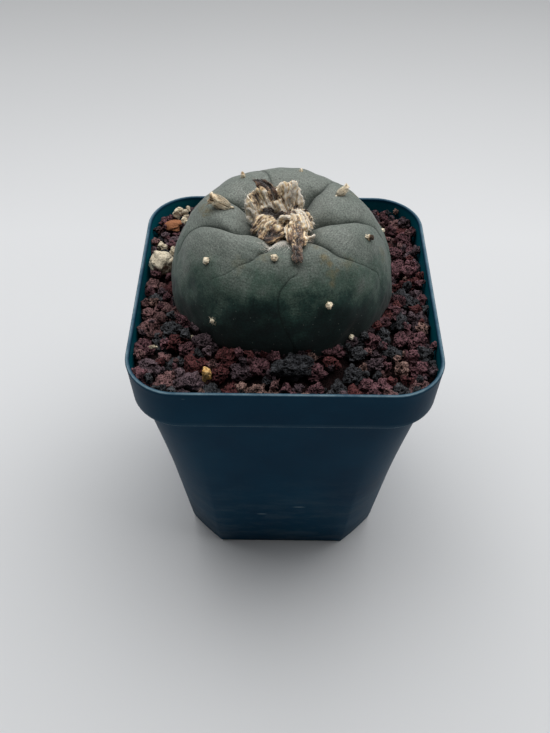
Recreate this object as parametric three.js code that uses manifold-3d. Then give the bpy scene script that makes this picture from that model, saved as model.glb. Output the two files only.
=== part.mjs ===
// A button cactus in a square nursery pot, with lava grit packed round it.
// Millimetres, +Z up. The origin is on the ground, under the middle of the pot.
// Azimuths are in degrees: 0 is +X, 90 is the back (+Y) and 270 is the front.
import * as THREE from 'three';
import { mergeVertices } from 'three/addons/utils/BufferGeometryUtils.js';
import Module from 'manifold-3d';

const wasm = await Module();
wasm.setup();

// Driving dimensions of the pot
const RIM_WIDTH = 89;
const POT_HEIGHT = 93;
const SKIRT_DROP = 14.4;
const SKIRT_FOOT_WIDTH = 87.5;
const NECK_WIDTH = 84.8;
const BASE_WIDTH = 63;
const RIM_CORNER = 15;
const BASE_CORNER = 16;
const WALL = 1.15;
const LIP = 1.25;
const FLOOR = 1.3;
const FOOT_RECESS = 2.5;
const FOOT_RING = 4;
const DRAIN_RADIUS = 4.5;
const DRAIN_PLACE = 19;

// Driving dimensions of the plant
const PLANT_X = -1.1;
const PLANT_Y = 1.5;
const EQUATOR_RADIUS = 32.4;
const CROWN_DRIFT_X = 0.4;
const CROWN_DRIFT_Y = -2.6;
const CROWN_DRIFT_REACH = 26;
const RIB_BULGE = 0.9;
const FURROW_DEPTH = 2.1;
const FURROW_WIDTH = 1.5;
const TUFT_ROOT = 0.9;

// Driving dimensions of the grit
const GRIT_LEVEL = 85.3;
const FRONT_RISE = 1.0;
const MOUND_RISE = 4.8;
const MOUND_REACH = 10;
const LUMP_RADIUS_MIN = 2.4;
const LUMP_RADIUS_MAX = 4.3;
const LUMP_TRIES = 8000;
const LUMP_SPACING = 0.78;
const STONE_SPACING = 0.62;
const FIT_GAP = 0.3;
const ROOT_GAP = 0.4;

// Colours, with their roughness
const FINISH = {
  pot: [0x12303b, 0.55],
  skin: [0x5c6f62, 0.7],
  wool: [0xcdbb98, 0.95],
  redLava: [0x5a2b28, 0.95],
  blackLava: [0x26262a, 0.9],
  purpleLava: [0x4a3a40, 0.95],
  pinkLava: [0x8a5f55, 0.95],
  pumice: [0xcfc3a8, 0.95],
  bark: [0x9a5a34, 0.85],
  yellowChip: [0xc79a3e, 0.8],
};

const group = new THREE.Group();

// A repeatable random draw between 0 and 1
function seeded(seed) {
  let state = seed >>> 0;
  return () => {
    state = (state + 0x6d2b79f5) >>> 0;
    let mixed = Math.imul(state ^ (state >>> 15), 1 | state);
    mixed = (mixed + Math.imul(mixed ^ (mixed >>> 7), 61 | mixed)) ^ mixed;
    return ((mixed ^ (mixed >>> 14)) >>> 0) / 4294967296;
  };
}

function smoothstep(from, to, value) {
  const part = Math.min(Math.max((value - from) / (to - from), 0), 1);
  return part * part * (3 - 2 * part);
}

// Turns a closed three.js shape into a solid that can be joined or cut
function solidOf(geometry) {
  const bare = geometry.clone();
  bare.deleteAttribute('normal');
  bare.deleteAttribute('uv');
  const merged = mergeVertices(bare, 1e-4);
  return new wasm.Manifold(new wasm.Mesh({
    numProp: 3,
    vertProperties: new Float32Array(merged.attributes.position.array),
    triVerts: new Uint32Array(merged.index.array),
  }));
}

function geometryOf(solid) {
  const mesh = solid.getMesh();
  const geometry = new THREE.BufferGeometry();
  geometry.setAttribute('position', new THREE.BufferAttribute(new Float32Array(mesh.vertProperties), 3));
  geometry.setIndex(new THREE.BufferAttribute(new Uint32Array(mesh.triVerts), 1));
  geometry.computeVertexNormals();
  return geometry;
}

// Keeps the biggest of the bodies that a cut leaves, so no loose scrap stays
function biggestBody(solid) {
  const bodies = solid.decompose();
  bodies.sort((a, b) => b.volume() - a.volume());
  return bodies[0];
}

function addMesh(name, geometry, finish) {
  const [color, roughness] = FINISH[finish];
  const material = new THREE.MeshStandardMaterial({ color, roughness, metalness: 0 });
  const mesh = new THREE.Mesh(geometry, material);
  mesh.name = name;
  group.add(mesh);
}

// A closed skin over a stack of rings, each with the same number of points
function loft(rings) {
  const count = rings[0].length;
  const positions = rings.flat(2);
  const index = [];
  for (let ring = 0; ring + 1 < rings.length; ring += 1) {
    for (let i = 0; i < count; i += 1) {
      const next = (i + 1) % count;
      const a = ring * count + i;
      const b = ring * count + next;
      index.push(a, b, b + count, a, b + count, a + count);
    }
  }
  const middleOf = (ring) => [0, 1, 2].map((axis) => ring.reduce((sum, p) => sum + p[axis], 0) / count);
  const bottom = rings.length * count;
  const top = bottom + 1;
  positions.push(...middleOf(rings[0]), ...middleOf(rings[rings.length - 1]));
  for (let i = 0; i < count; i += 1) {
    const next = (i + 1) % count;
    const last = (rings.length - 1) * count;
    index.push(bottom, next, i, top, last + i, last + next);
  }
  const geometry = new THREE.BufferGeometry();
  geometry.setAttribute('position', new THREE.Float32BufferAttribute(positions, 3));
  geometry.setIndex(index);
  return geometry;
}

// A square ring with round corners, at one height
const CORNER_POINTS = 7;
function squareRing(width, corner, z) {
  const points = [];
  for (let quarter = 0; quarter < 4; quarter += 1) {
    const x = (quarter === 0 || quarter === 3 ? 1 : -1) * (width / 2 - corner);
    const y = (quarter < 2 ? 1 : -1) * (width / 2 - corner);
    for (let i = 0; i < CORNER_POINTS; i += 1) {
      const angle = (quarter + i / (CORNER_POINTS - 1)) * Math.PI / 2;
      points.push([x + corner * Math.cos(angle), y + corner * Math.sin(angle), z]);
    }
  }
  return points;
}

// The pot: tapered walls, a skirt round the mouth, a foot ring and drain holes
const SKIRT_Z = POT_HEIGHT - SKIRT_DROP;
const FLOOR_TOP = FOOT_RECESS + FLOOR;
const EDGE = 0.6;

function widthAt(z) {
  return BASE_WIDTH + (NECK_WIDTH - BASE_WIDTH) * z / SKIRT_Z;
}

// The hollow of the pot, shrunk on every side by a gap and open to a height
function hollowRings(gap, topZ) {
  const ledge = SKIRT_Z + WALL;
  const mouth = RIM_WIDTH - 2 * LIP - 2 * gap;
  return [
    squareRing(widthAt(FLOOR_TOP) - 2 * (WALL + gap), BASE_CORNER - WALL - gap, FLOOR_TOP + gap),
    squareRing(NECK_WIDTH - 2 * (WALL + gap), BASE_CORNER - WALL - gap, SKIRT_Z - EDGE),
    squareRing(SKIRT_FOOT_WIDTH - 2 * (WALL + gap), RIM_CORNER - WALL - gap, ledge),
    squareRing(mouth, RIM_CORNER - LIP - gap, POT_HEIGHT),
    squareRing(mouth, RIM_CORNER - LIP - gap, topZ),
  ];
}

function makePot() {
  const outside = solidOf(loft([
    squareRing(BASE_WIDTH - 2 * EDGE, BASE_CORNER - EDGE, 0),
    squareRing(BASE_WIDTH, BASE_CORNER, EDGE),
    squareRing(NECK_WIDTH, BASE_CORNER, SKIRT_Z),
    squareRing(SKIRT_FOOT_WIDTH - EDGE, RIM_CORNER, SKIRT_Z),
    squareRing(SKIRT_FOOT_WIDTH, RIM_CORNER, SKIRT_Z + EDGE),
    squareRing(RIM_WIDTH - 0.2, RIM_CORNER, POT_HEIGHT - 2.2 * EDGE),
    squareRing(RIM_WIDTH, RIM_CORNER, POT_HEIGHT - 1.6 * EDGE),
    squareRing(RIM_WIDTH, RIM_CORNER, POT_HEIGHT - EDGE / 2),
    squareRing(RIM_WIDTH - EDGE, RIM_CORNER - EDGE / 2, POT_HEIGHT),
  ]));
  const hollow = solidOf(loft(hollowRings(0, POT_HEIGHT + 1)));
  const recessWidth = BASE_WIDTH - 2 * FOOT_RING;
  const recess = solidOf(loft([
    squareRing(recessWidth, BASE_CORNER - FOOT_RING, -1),
    squareRing(recessWidth, BASE_CORNER - FOOT_RING, FOOT_RECESS),
  ]));
  let pot = outside.subtract(hollow).subtract(recess);
  const drain = new THREE.CylinderGeometry(DRAIN_RADIUS, DRAIN_RADIUS, 4 * FLOOR, 12);
  drain.rotateX(Math.PI / 2);
  for (const [x, y] of [[0, 0], [1, 1], [-1, 1], [-1, -1], [1, -1]]) {
    const hole = drain.clone().translate(x * DRAIN_PLACE, y * DRAIN_PLACE, FOOT_RECESS + FLOOR / 2);
    pot = pot.subtract(solidOf(hole));
  }
  addMesh('pot', geometryOf(pot), 'pot');
}

// The outline of the plant from its sunken crown, over its widest place and
// down its tap root, as radius and height. The root below the grit is a guess.
const PLANT_OUTLINE = [
  [0, 112.4], [4, 113.8], [8.1, 117.2], [14.2, 119.6], [20.1, 118.6], [25.9, 113.5],
  [29.8, 106.5], [32.2, 98.8], [EQUATOR_RADIUS, 92], [29.4, 86], [23.5, 79],
  [16, 72], [10, 64], [7, 54], [4.5, 44], [2.2, 35], [0, 31],
].map(([r, z]) => new THREE.Vector2(r, z));
const outline = new THREE.SplineCurve(PLANT_OUTLINE);
outline.arcLengthDivisions = 800;
const OUTLINE_LENGTH = outline.getLength();
const EQUATOR_REACH = 53.5;

// Each furrow between two ribs, as azimuths at growing distances from the axis
const FURROWS = [
  [[8.6, -6], [14.4, -11], [19.3, -8], [23.3, -3], [26.1, 0], [29.5, -2]],
  [[8.6, 49], [12.8, 48], [15.9, 45], [22.3, 48], [29, 47]],
  [[9, 104], [13.8, 104], [18.3, 105], [21.8, 108], [29, 104]],
  [[9, 160], [13.3, 159], [16.4, 160], [22, 155], [29, 152]],
  [[9.8, 216], [15.5, 211], [18.7, 200], [22.8, 189], [25.9, 186], [29, 188]],
  [[9.5, 252], [16.4, 255], [18.8, 251], [21.3, 248], [23.3, 241], [25.7, 235], [27.3, 228], [29, 222]],
  [[9.5, 284], [22.3, 281], [24.3, 275], [26.1, 270], [27.6, 268], [29.7, 269], [31.5, 273], [32.4, 276]],
  [[9.5, 308], [14.4, 308], [19.3, 310], [22.3, 312], [24.8, 319], [26.9, 326], [29.2, 334]],
];

function furrowAzimuth(furrow, reach) {
  if (reach <= furrow[0][0]) return furrow[0][1];
  for (let i = 1; i < furrow.length; i += 1) {
    const [toReach, toAzimuth] = furrow[i];
    const [fromReach, fromAzimuth] = furrow[i - 1];
    if (reach <= toReach) {
      return fromAzimuth + (toAzimuth - fromAzimuth) * (reach - fromReach) / (toReach - fromReach);
    }
  }
  return furrow[furrow.length - 1][1];
}

// The azimuth of a place on a rib, from its share of the way over that rib
function ribAzimuth(rib, share, reach) {
  const from = furrowAzimuth(FURROWS[rib], reach);
  const wrap = rib + 1 === FURROWS.length ? 360 : 0;
  const to = furrowAzimuth(FURROWS[(rib + 1) % FURROWS.length], reach) + wrap;
  return from + (to - from) * share;
}

// How deep the furrows are and how full the ribs stand, along the outline
function furrowDepth(along) {
  const deep = FURROW_DEPTH * smoothstep(1, 9, along) * (1 - smoothstep(15, 36, along));
  return deep + 0.3 * smoothstep(14, 30, along) * (1 - smoothstep(54, 64, along));
}

function ribFullness(along) {
  return RIB_BULGE * smoothstep(2, 12, along) * (1 - 0.65 * smoothstep(22, 50, along))
    * (1 - smoothstep(56, 68, along));
}

// A place on the plant's skin. The crown lies a little in front of the axis.
function skinPoint(along, rib, share, lift, furrowed = true) {
  const here = Math.min(Math.max(along / OUTLINE_LENGTH, 0), 1);
  const point = outline.getPointAt(here);
  const tangent = outline.getTangentAt(here);
  const reach = along < EQUATOR_REACH ? point.x : EQUATOR_RADIUS;
  const azimuth = THREE.MathUtils.degToRad(ribAzimuth(rib, share, reach));
  const turn = THREE.MathUtils.degToRad(ribAzimuth(rib, 1, reach) - ribAzimuth(rib, 0, reach));
  const width = turn * point.x;
  const spread = Math.min(FURROW_WIDTH, width / 4) + 0.01;
  const crease = Math.exp(-share * width / spread) + Math.exp(-(1 - share) * width / spread);
  const rise = ribFullness(along) * Math.pow(Math.sin(Math.PI * share), 0.6);
  const push = lift + (furrowed ? rise - furrowDepth(along) * crease : RIB_BULGE);
  const radius = Math.max(point.x - tangent.y * push, 0);
  const drift = (1 - Math.min(reach / CROWN_DRIFT_REACH, 1) ** 2) ** 2;
  return new THREE.Vector3(
    PLANT_X + radius * Math.cos(azimuth) + CROWN_DRIFT_X * drift,
    PLANT_Y + radius * Math.sin(azimuth) + CROWN_DRIFT_Y * drift,
    point.y + tangent.x * push,
  );
}

// The plant as one closed skin. Its columns follow the furrows and lie closest
// together beside them, at these shares of the way over each rib.
const RIB_COLUMNS = [0, 0.09, 0.27, 0.5, 0.73, 0.91];
const PLAIN_COLUMNS = [0, 0.33, 0.67];
const ROOT_TIP = OUTLINE_LENGTH - 0.6;
const SKIN_ROWS = [
  1.5, 5, 8, 11, 13.5, 16, 18.5, 21, 23.5, 26, 29, 32, 35, 38.5, 42, 46, 50, 54, 58, 62, 68, 76, 92, ROOT_TIP,
];
const PLAIN_ROWS = [1.5, 6, 10, 14, 20, 27, 35, 45, 53, 60, 68, 76, 92, ROOT_TIP];

function plantSkin(columns, rows, lift, furrowed) {
  const rings = rows.map((along) => {
    const ring = [];
    for (let rib = 0; rib < FURROWS.length; rib += 1) {
      for (const share of columns) {
        ring.push(skinPoint(along, rib, share, lift, furrowed).toArray());
      }
    }
    return ring;
  });
  return solidOf(loft(rings.reverse()));
}

// The woolly tufts on the ribs. Each has its place (distance along the outline
// from the crown, azimuth), its width, its length, and how far it lies over.
const TUFTS = [
  [29.5, 219, 2.0, 1.5, 0.15], [43.7, 234, 1.3, 1.0, 0], [22.3, 264, 2.1, 1.6, 0.2],
  [36.2, 295, 2.0, 1.5, 0], [48.7, 306, 1.5, 1.2, 0], [27.5, 342, 1.9, 1.9, 0.4],
  [20.3, 27, 1.7, 3.8, 1.1], [24.2, 74, 1.2, 0.8, 0], [25.6, 122, 1.4, 2.2, 0.1],
  [19.8, 172, 2.5, 4.6, 1.1], [36.2, 10, 1.2, 1.0, 0], [46, 22, 1.5, 1.2, 0],
  [37, 70, 1.7, 1.4, 0.1], [51, 84, 1.3, 1.0, 0], [36, 126, 1.6, 1.3, 0.1],
  [49, 138, 1.4, 1.1, 0], [34, 168, 1.7, 1.4, 0.1], [46.5, 176, 1.4, 1.1, 0],
];

function onSkin(along, azimuth, lift) {
  const reach = along < EQUATOR_REACH ? outline.getPointAt(along / OUTLINE_LENGTH).x : EQUATOR_RADIUS;
  for (let rib = 0; rib < FURROWS.length; rib += 1) {
    const from = ribAzimuth(rib, 0, reach);
    const to = ribAzimuth(rib, 1, reach);
    const turned = from + THREE.MathUtils.euclideanModulo(azimuth - from, 360);
    if (turned < to) return skinPoint(along, rib, (turned - from) / (to - from), lift);
  }
  return skinPoint(along, 0, 0, lift);
}

function makeTuft([along, azimuth, width, length, lean], draw) {
  const foot = onSkin(along, azimuth, 0);
  const out = onSkin(along, azimuth, 1).sub(foot).normalize();
  const downhill = onSkin(along + 1, azimuth, 0).sub(foot).normalize();
  const way = out.clone().multiplyScalar(Math.cos(lean)).addScaledVector(downhill, -Math.sin(lean));
  const start = foot.clone().addScaledVector(out, -TUFT_ROOT);
  const full = length + TUFT_ROOT;
  const geometry = new THREE.CylinderGeometry(width * 0.36, width * 0.5, full, 6, 2);
  const places = geometry.attributes.position;
  for (let i = 0; i < places.count; i += 1) {
    if (Math.abs(places.getY(i)) < full / 4) {
      places.setX(i, places.getX(i) * 1.25);
      places.setZ(i, places.getZ(i) * 1.25);
    }
  }
  geometry.rotateY(draw() * Math.PI);
  geometry.translate(0, full / 2, 0);
  geometry.applyQuaternion(new THREE.Quaternion().setFromUnitVectors(new THREE.Vector3(0, 1, 0), way));
  geometry.translate(...start.toArray());
  return solidOf(geometry);
}

function makePlant() {
  const draw = seeded(31);
  let plant = plantSkin(RIB_COLUMNS, SKIN_ROWS, 0, true);
  for (const tuft of TUFTS) {
    plant = plant.add(makeTuft(tuft, draw));
  }
  addMesh('cactus_body', geometryOf(plant), 'skin');
}

// Old wool and dried flower at the crown: bent, frayed tongues grown together.
// Each has a foot, a knee that it bends over, a tip, a width at both ends and
// a thickness. The long ones hang down over the ribs in front.
const WOOL_TONGUES = [
  [[-1.4, -1.8, 113.4], [-2, -1.8, 119], [-2.4, -1.8, 125.4], [15, 12], 14],
  [[1, -1, 113.5], [1.6, 0.4, 122], [1.6, 2.4, 129.0], [8, 5.0], 6.5],
  [[-1.5, -1, 113.5], [-1, 0.4, 120.5], [-1.0, 2.2, 128.4], [7, 4.4], 6],
  [[-3, -1, 113.8], [-6.5, 1.0, 122.4], [-9.8, 3.0, 128.6], [8, 3.6], 4.6],
  [[-3, -0.5, 113.8], [-4.4, 1.2, 121], [-6.2, 2.8, 127.0], [8, 4.6], 5.6],
  [[-3, -2, 114], [-7, -1.4, 120.6], [-10.6, -0.6, 124.4], [9, 6.4], 5.5],
  [[-2.5, -3.5, 114], [-6.2, -4.6, 119.8], [-9.4, -5.8, 120.8], [9, 6.6], 5.5],
  [[-0.5, -3.5, 114], [-3, -7.6, 121.4], [-4.8, -11.4, 120.8], [9, 6.4], 5],
  [[0.5, -3, 114], [0.4, -9.6, 123.6], [0.2, -15.8, 120.8], [8, 4.6], 4],
  [[1.5, -3, 114], [3.2, -11.0, 124.8], [4.2, -19.4, 120.4], [8, 2.4], 3.4],
  [[2.5, -2, 113.8], [5, -3.2, 120], [7.0, -4.6, 121.8], [9, 6], 6],
  [[2, -1, 113.8], [4, -0.2, 120], [5.4, 0.6, 123.8], [9, 5.4], 6],
  [[-0.5, 0.5, 113.8], [0, 2.6, 119.6], [0.2, 4.6, 122.4], [9, 6.5], 5],
];
const TONGUE_RINGS = 5;
const TONGUE_SIDES = 6;

function makeTongue([foot, knee, tip, widths, thick], draw) {
  const start = new THREE.Vector3(...foot);
  const end = new THREE.Vector3(...tip);
  const way = end.clone().sub(start);
  const aside = new THREE.Vector3(-way.y, way.x, 0).normalize();
  const curve = new THREE.QuadraticBezierCurve3(start, new THREE.Vector3(...knee), end);
  const rings = [];
  for (let ring = 0; ring < TONGUE_RINGS; ring += 1) {
    const share = ring / (TONGUE_RINGS - 1);
    const centre = curve.getPoint(share);
    const across = aside.clone().applyAxisAngle(curve.getTangent(share), 0.7 * (draw() - 0.5));
    const through = curve.getTangent(share).cross(across);
    const width = widths[0] + (widths[1] - widths[0]) * share;
    const depth = thick * (1 - 0.55 * share);
    const points = [];
    for (let side = 0; side < TONGUE_SIDES; side += 1) {
      const angle = side / TONGUE_SIDES * 2 * Math.PI;
      const ragged = 0.86 + 0.28 * draw();
      points.push(centre.clone()
        .addScaledVector(across, width / 2 * ragged * Math.cos(angle))
        .addScaledVector(through, depth / 2 * ragged * Math.sin(angle)).toArray());
    }
    rings.push(points);
  }
  return solidOf(loft(rings));
}

function makeWool() {
  const draw = seeded(77);
  let wool = null;
  for (const tongue of WOOL_TONGUES) {
    const solid = makeTongue(tongue, draw);
    wool = wool ? wool.add(solid) : solid;
  }
  wool = biggestBody(wool.subtract(plantSkin(PLAIN_COLUMNS, PLAIN_ROWS, FIT_GAP, false)));
  addMesh('crown_wool', geometryOf(wool), 'wool');
}

// Stones that stand out by their size or colour. Each has its middle, its size
// along X, Y and Z, its turn about the upright and its finish.
const STONES = {
  black_lava_01: [[1.8, -34.3, 93.4], [12.8, 6.2, 7.0], 4, 'blackLava'],
  black_lava_02: [[18.4, -34.4, 89.8], [7.0, 5.6, 5.6], 30, 'blackLava'],
  black_lava_03: [[33.4, -12.6, 89.4], [6.2, 6.0, 5.6], 10, 'blackLava'],
  black_lava_04: [[30.6, -25.0, 89.4], [6.4, 5.0, 4.8], -15, 'blackLava'],
  black_lava_05: [[20.0, -28.2, 92.0], [5.6, 4.6, 5.0], 40, 'blackLava'],
  purple_lava_01: [[-25.4, -36.8, 89.6], [7.4, 5.6, 5.6], 10, 'purpleLava'],
  purple_lava_02: [[-38.2, -30.6, 88.6], [6.8, 6.2, 5.0], 0, 'purpleLava'],
  purple_lava_03: [[-12.0, -34.2, 90.8], [6.0, 5.0, 5.0], 20, 'purpleLava'],
  purple_lava_04: [[25.0, -30.2, 90.2], [5.0, 4.4, 4.6], 0, 'purpleLava'],
  red_lava_01: [[-30.8, -22.2, 90.4], [6.2, 5.2, 5.2], 15, 'redLava'],
  red_lava_02: [[-18.0, -35.0, 90.4], [5.0, 4.8, 6.4], 0, 'redLava'],
  red_lava_03: [[26.2, -37.6, 89.0], [7.6, 4.6, 4.8], 12, 'redLava'],
  red_lava_04: [[24.6, -23.2, 92.2], [4.8, 4.4, 4.8], 35, 'redLava'],
  red_lava_05: [[13.4, -31.8, 92.2], [5.2, 4.0, 4.2], -20, 'redLava'],
  red_lava_06: [[-36.6, -7.8, 88.8], [6.6, 5.6, 5.0], 25, 'redLava'],
  red_lava_07: [[8.6, -39.6, 89.6], [5.8, 4.8, 5.4], 50, 'redLava'],
  pink_lava_01: [[-8.0, -39.4, 89.2], [6.6, 4.6, 4.8], 15, 'pinkLava'],
  pink_lava_02: [[37.8, -19.4, 89.0], [7.0, 6.2, 5.4], 0, 'pinkLava'],
  pink_lava_03: [[32.4, -31.0, 89.4], [5.2, 4.6, 4.6], 60, 'pinkLava'],
  pink_lava_04: [[38.6, 27.0, 88.6], [5.0, 6.0, 5.0], 0, 'pinkLava'],
  pumice_01: [[-39.0, 13.0, 89.6], [6.6, 8.4, 7.6], -10, 'pumice'],
  pumice_02: [[-35.6, 19.6, 88.8], [3.2, 3.6, 4.2], 20, 'pumice'],
  pumice_03: [[-39.6, 22.8, 88.2], [3.6, 3.4, 3.6], 0, 'pumice'],
  pumice_04: [[-35.0, 38.6, 90.2], [5.0, 3.4, 3.8], 15, 'pumice'],
  bark_chip: [[-37.0, 32.4, 89.6], [6.0, 3.4, 2.6], 20, 'bark'],
  yellow_chip: [[-21.2, -33.4, 91.0], [2.5, 2.6, 4.6], 0, 'yellowChip'],
};

// A ball of flat triangles with each corner pushed in or out at random
function roughBall(radius, detail, least, most, draw) {
  const ball = new THREE.IcosahedronGeometry(radius, detail);
  ball.deleteAttribute('normal');
  ball.deleteAttribute('uv');
  const geometry = mergeVertices(ball, 1e-3);
  const places = geometry.attributes.position;
  for (let i = 0; i < places.count; i += 1) {
    const rough = least + (most - least) * draw();
    places.setXYZ(i, places.getX(i) * rough, places.getY(i) * rough, places.getZ(i) * rough);
  }
  return geometry;
}

// A rough stone of 80 flat faces. The margin is added on every side.
function makeStone(name, margin) {
  const [place, size, turn] = STONES[name];
  const geometry = roughBall(0.5, 1, 0.8, 1.07, seeded(500 + Object.keys(STONES).indexOf(name)));
  geometry.scale(...size.map((side) => side + 2 * margin));
  geometry.rotateZ(THREE.MathUtils.degToRad(turn));
  geometry.translate(...place);
  return geometry;
}

// The bed of grit fills the pot and rises to a mound in front of the plant
function bedHeight(x, y) {
  const front = smoothstep(8, -22, y);
  const away = Math.hypot(x - PLANT_X, y - PLANT_Y) - EQUATOR_RADIUS;
  const near = 1 - smoothstep(0, MOUND_REACH, away);
  return GRIT_LEVEL + FRONT_RISE * front + MOUND_RISE * front * near;
}

const BED_RINGS = 5;
const BED_INNER = 25;
function makeBed() {
  const rings = hollowRings(FIT_GAP, POT_HEIGHT).slice(0, 3);
  const [ledge, mouth] = hollowRings(FIT_GAP, POT_HEIGHT).slice(2, 4);
  const upTo = (GRIT_LEVEL - ledge[0][2]) / (POT_HEIGHT - ledge[0][2]);
  const wall = ledge.map(([x, y], i) => [
    THREE.MathUtils.lerp(x, mouth[i][0], upTo),
    THREE.MathUtils.lerp(y, mouth[i][1], upTo),
  ]);
  for (let ring = 0; ring < BED_RINGS; ring += 1) {
    const share = ring / (BED_RINGS - 1);
    rings.push(wall.map(([x, y]) => {
      const angle = Math.atan2(y - PLANT_Y, x - PLANT_X);
      const px = THREE.MathUtils.lerp(x, PLANT_X + BED_INNER * Math.cos(angle), share);
      const py = THREE.MathUtils.lerp(y, PLANT_Y + BED_INNER * Math.sin(angle), share);
      return [px, py, bedHeight(px, py)];
    }));
  }
  return solidOf(loft(rings));
}

// Where the lumps of grit lie: drawn at random, big ones first and small ones
// between them, kept apart from each other and off the stones that stand out
function placeLumps() {
  const draw = seeded(2024);
  const reach = RIM_WIDTH / 2 - LIP - 1.6;
  const cornerMiddle = RIM_WIDTH / 2 - RIM_CORNER;
  const stones = Object.values(STONES).map(([[x, y], [long, wide]]) => [x, y, (long + wide) / 4]);
  const lumps = [];
  for (let attempt = 0; attempt < LUMP_TRIES; attempt += 1) {
    const x = (2 * draw() - 1) * reach;
    const y = (2 * draw() - 1) * reach;
    const late = Math.sqrt(attempt / LUMP_TRIES);
    const radius = LUMP_RADIUS_MAX + (LUMP_RADIUS_MIN - LUMP_RADIUS_MAX) * late;
    const cornerX = Math.max(Math.abs(x) - cornerMiddle, 0);
    const cornerY = Math.max(Math.abs(y) - cornerMiddle, 0);
    const inCorner = Math.hypot(cornerX, cornerY) < RIM_CORNER - LIP - 1.6;
    const offPlant = Math.hypot(x - PLANT_X, y - PLANT_Y) > EQUATOR_RADIUS - 0.5;
    const clear = (list, spacing) => list.every(
      ([px, py, pr]) => Math.hypot(x - px, y - py) > spacing * (radius + pr),
    );
    if (inCorner && offPlant && clear(lumps, LUMP_SPACING) && clear(stones, STONE_SPACING)) {
      lumps.push([x, y, radius]);
    }
  }
  return lumps;
}

function makeLump([x, y, radius], draw) {
  const geometry = roughBall(radius, 0, 0.84, 1.16, draw);
  geometry.rotateX(draw() * Math.PI).rotateZ(draw() * Math.PI);
  geometry.scale(0.95 + 0.2 * draw(), 0.95 + 0.2 * draw(), 0.75 + 0.2 * draw());
  geometry.translate(x, y, bedHeight(x, y) + radius * (0.35 + 0.3 * draw()));
  return solidOf(geometry);
}

function makeGrit() {
  const draw = seeded(91);
  const lumps = wasm.Manifold.union(placeLumps().map((lump) => makeLump(lump, draw)));
  const inside = solidOf(loft(hollowRings(FIT_GAP, POT_HEIGHT + 6)));
  let grit = makeBed().add(lumps.intersect(inside));
  grit = grit.subtract(plantSkin(PLAIN_COLUMNS, PLAIN_ROWS, ROOT_GAP, false));
  for (const name of Object.keys(STONES)) {
    grit = grit.subtract(solidOf(makeStone(name, FIT_GAP)));
  }
  addMesh('lava_grit', geometryOf(biggestBody(grit)), 'redLava');
}

function makeStones() {
  for (const [name, stone] of Object.entries(STONES)) {
    addMesh(name, makeStone(name, 0), stone[3]);
  }
}

makePot();
makePlant();
makeWool();
makeGrit();
makeStones();

export default group;
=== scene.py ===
# Looks of a button cactus in a square nursery pot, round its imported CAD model.
# Places and sizes are in millimetres, but meshes and materials are in metres, with
# +Z up. Azimuths are in degrees: 0 is +X, 90 the back and 270 the front.
import itertools
import math

import bmesh
import bpy
import numpy as np
from mathutils import Matrix, Vector
from mathutils.kdtree import KDTree


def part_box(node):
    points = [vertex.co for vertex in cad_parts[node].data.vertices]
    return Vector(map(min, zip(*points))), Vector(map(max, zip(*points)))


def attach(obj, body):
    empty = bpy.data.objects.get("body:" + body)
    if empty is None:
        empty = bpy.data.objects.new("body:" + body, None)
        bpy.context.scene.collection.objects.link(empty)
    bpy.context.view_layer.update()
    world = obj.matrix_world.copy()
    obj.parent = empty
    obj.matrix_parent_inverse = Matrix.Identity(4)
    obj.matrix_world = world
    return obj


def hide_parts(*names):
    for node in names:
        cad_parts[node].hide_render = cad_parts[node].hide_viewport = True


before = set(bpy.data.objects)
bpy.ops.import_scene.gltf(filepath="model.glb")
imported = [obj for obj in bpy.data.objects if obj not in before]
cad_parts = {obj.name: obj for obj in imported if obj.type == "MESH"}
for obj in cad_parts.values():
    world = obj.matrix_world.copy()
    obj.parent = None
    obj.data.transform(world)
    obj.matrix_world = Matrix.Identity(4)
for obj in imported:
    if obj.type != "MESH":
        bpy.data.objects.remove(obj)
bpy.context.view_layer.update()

# The pot is a square nursery pot, moulded in one piece from dark blue-green
# polypropylene. Its thin walls taper to a ring foot with cut corners, a skirt with
# a round bead stiffens the mouth, and five drain holes go through the raised floor.
MM = 0.001
pot_low, pot_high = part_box("pot")
RIM_WIDTH = (pot_high.x - pot_low.x) / MM
POT_HEIGHT = pot_high.z / MM
SKIRT_HEIGHT = 14.4
SKIRT_Z = POT_HEIGHT - SKIRT_HEIGHT
SKIRT_FOOT_WIDTH = 87.5
BEAD_FOOT_WIDTH = 88.8
NECK_WIDTH = 84.8
BASE_WIDTH = 63.0
RIM_CORNER = 15.0
NECK_CORNER = 18.0
BASE_CORNER = 10.5
BASE_CORNER_CUT = 0.9
CUT_END_Z = 70.0
WALL = 1.15
LIP = 1.1
BEAD_RISE = 12.4
SKIRT_INSIDE_TOP = 91.5
SKIRT_INSIDE_DROP = 11.6
NECK_INSIDE_Z = 77.8
FOOT_INSIDE_Z = 5.5
FOOT_ROUND = 0.6
RECESS_ROUND = 0.4
SKIRT_ROUND = 0.5
LIP_ROUND = 0.4
FOOT_RECESS = 2.5
FLOOR_TOP = 3.8
RECESS_WIDTH = 55.0
DRAIN_RADIUS = 4.5
DRAIN_PLACE = 19.0
DRAINS = [(0, 0), (1, 1), (-1, 1), (-1, -1), (1, -1)]
SLIVER = 0.003
CENTRE_SHARE = 0.02
CORNER_STEPS = 13
SIDE_STEPS = 9
EDGE_STEPS = 6
BEAD_STEPS = 7
OUTSIDE_STEPS = 26
INSIDE_STEPS = 12


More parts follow.
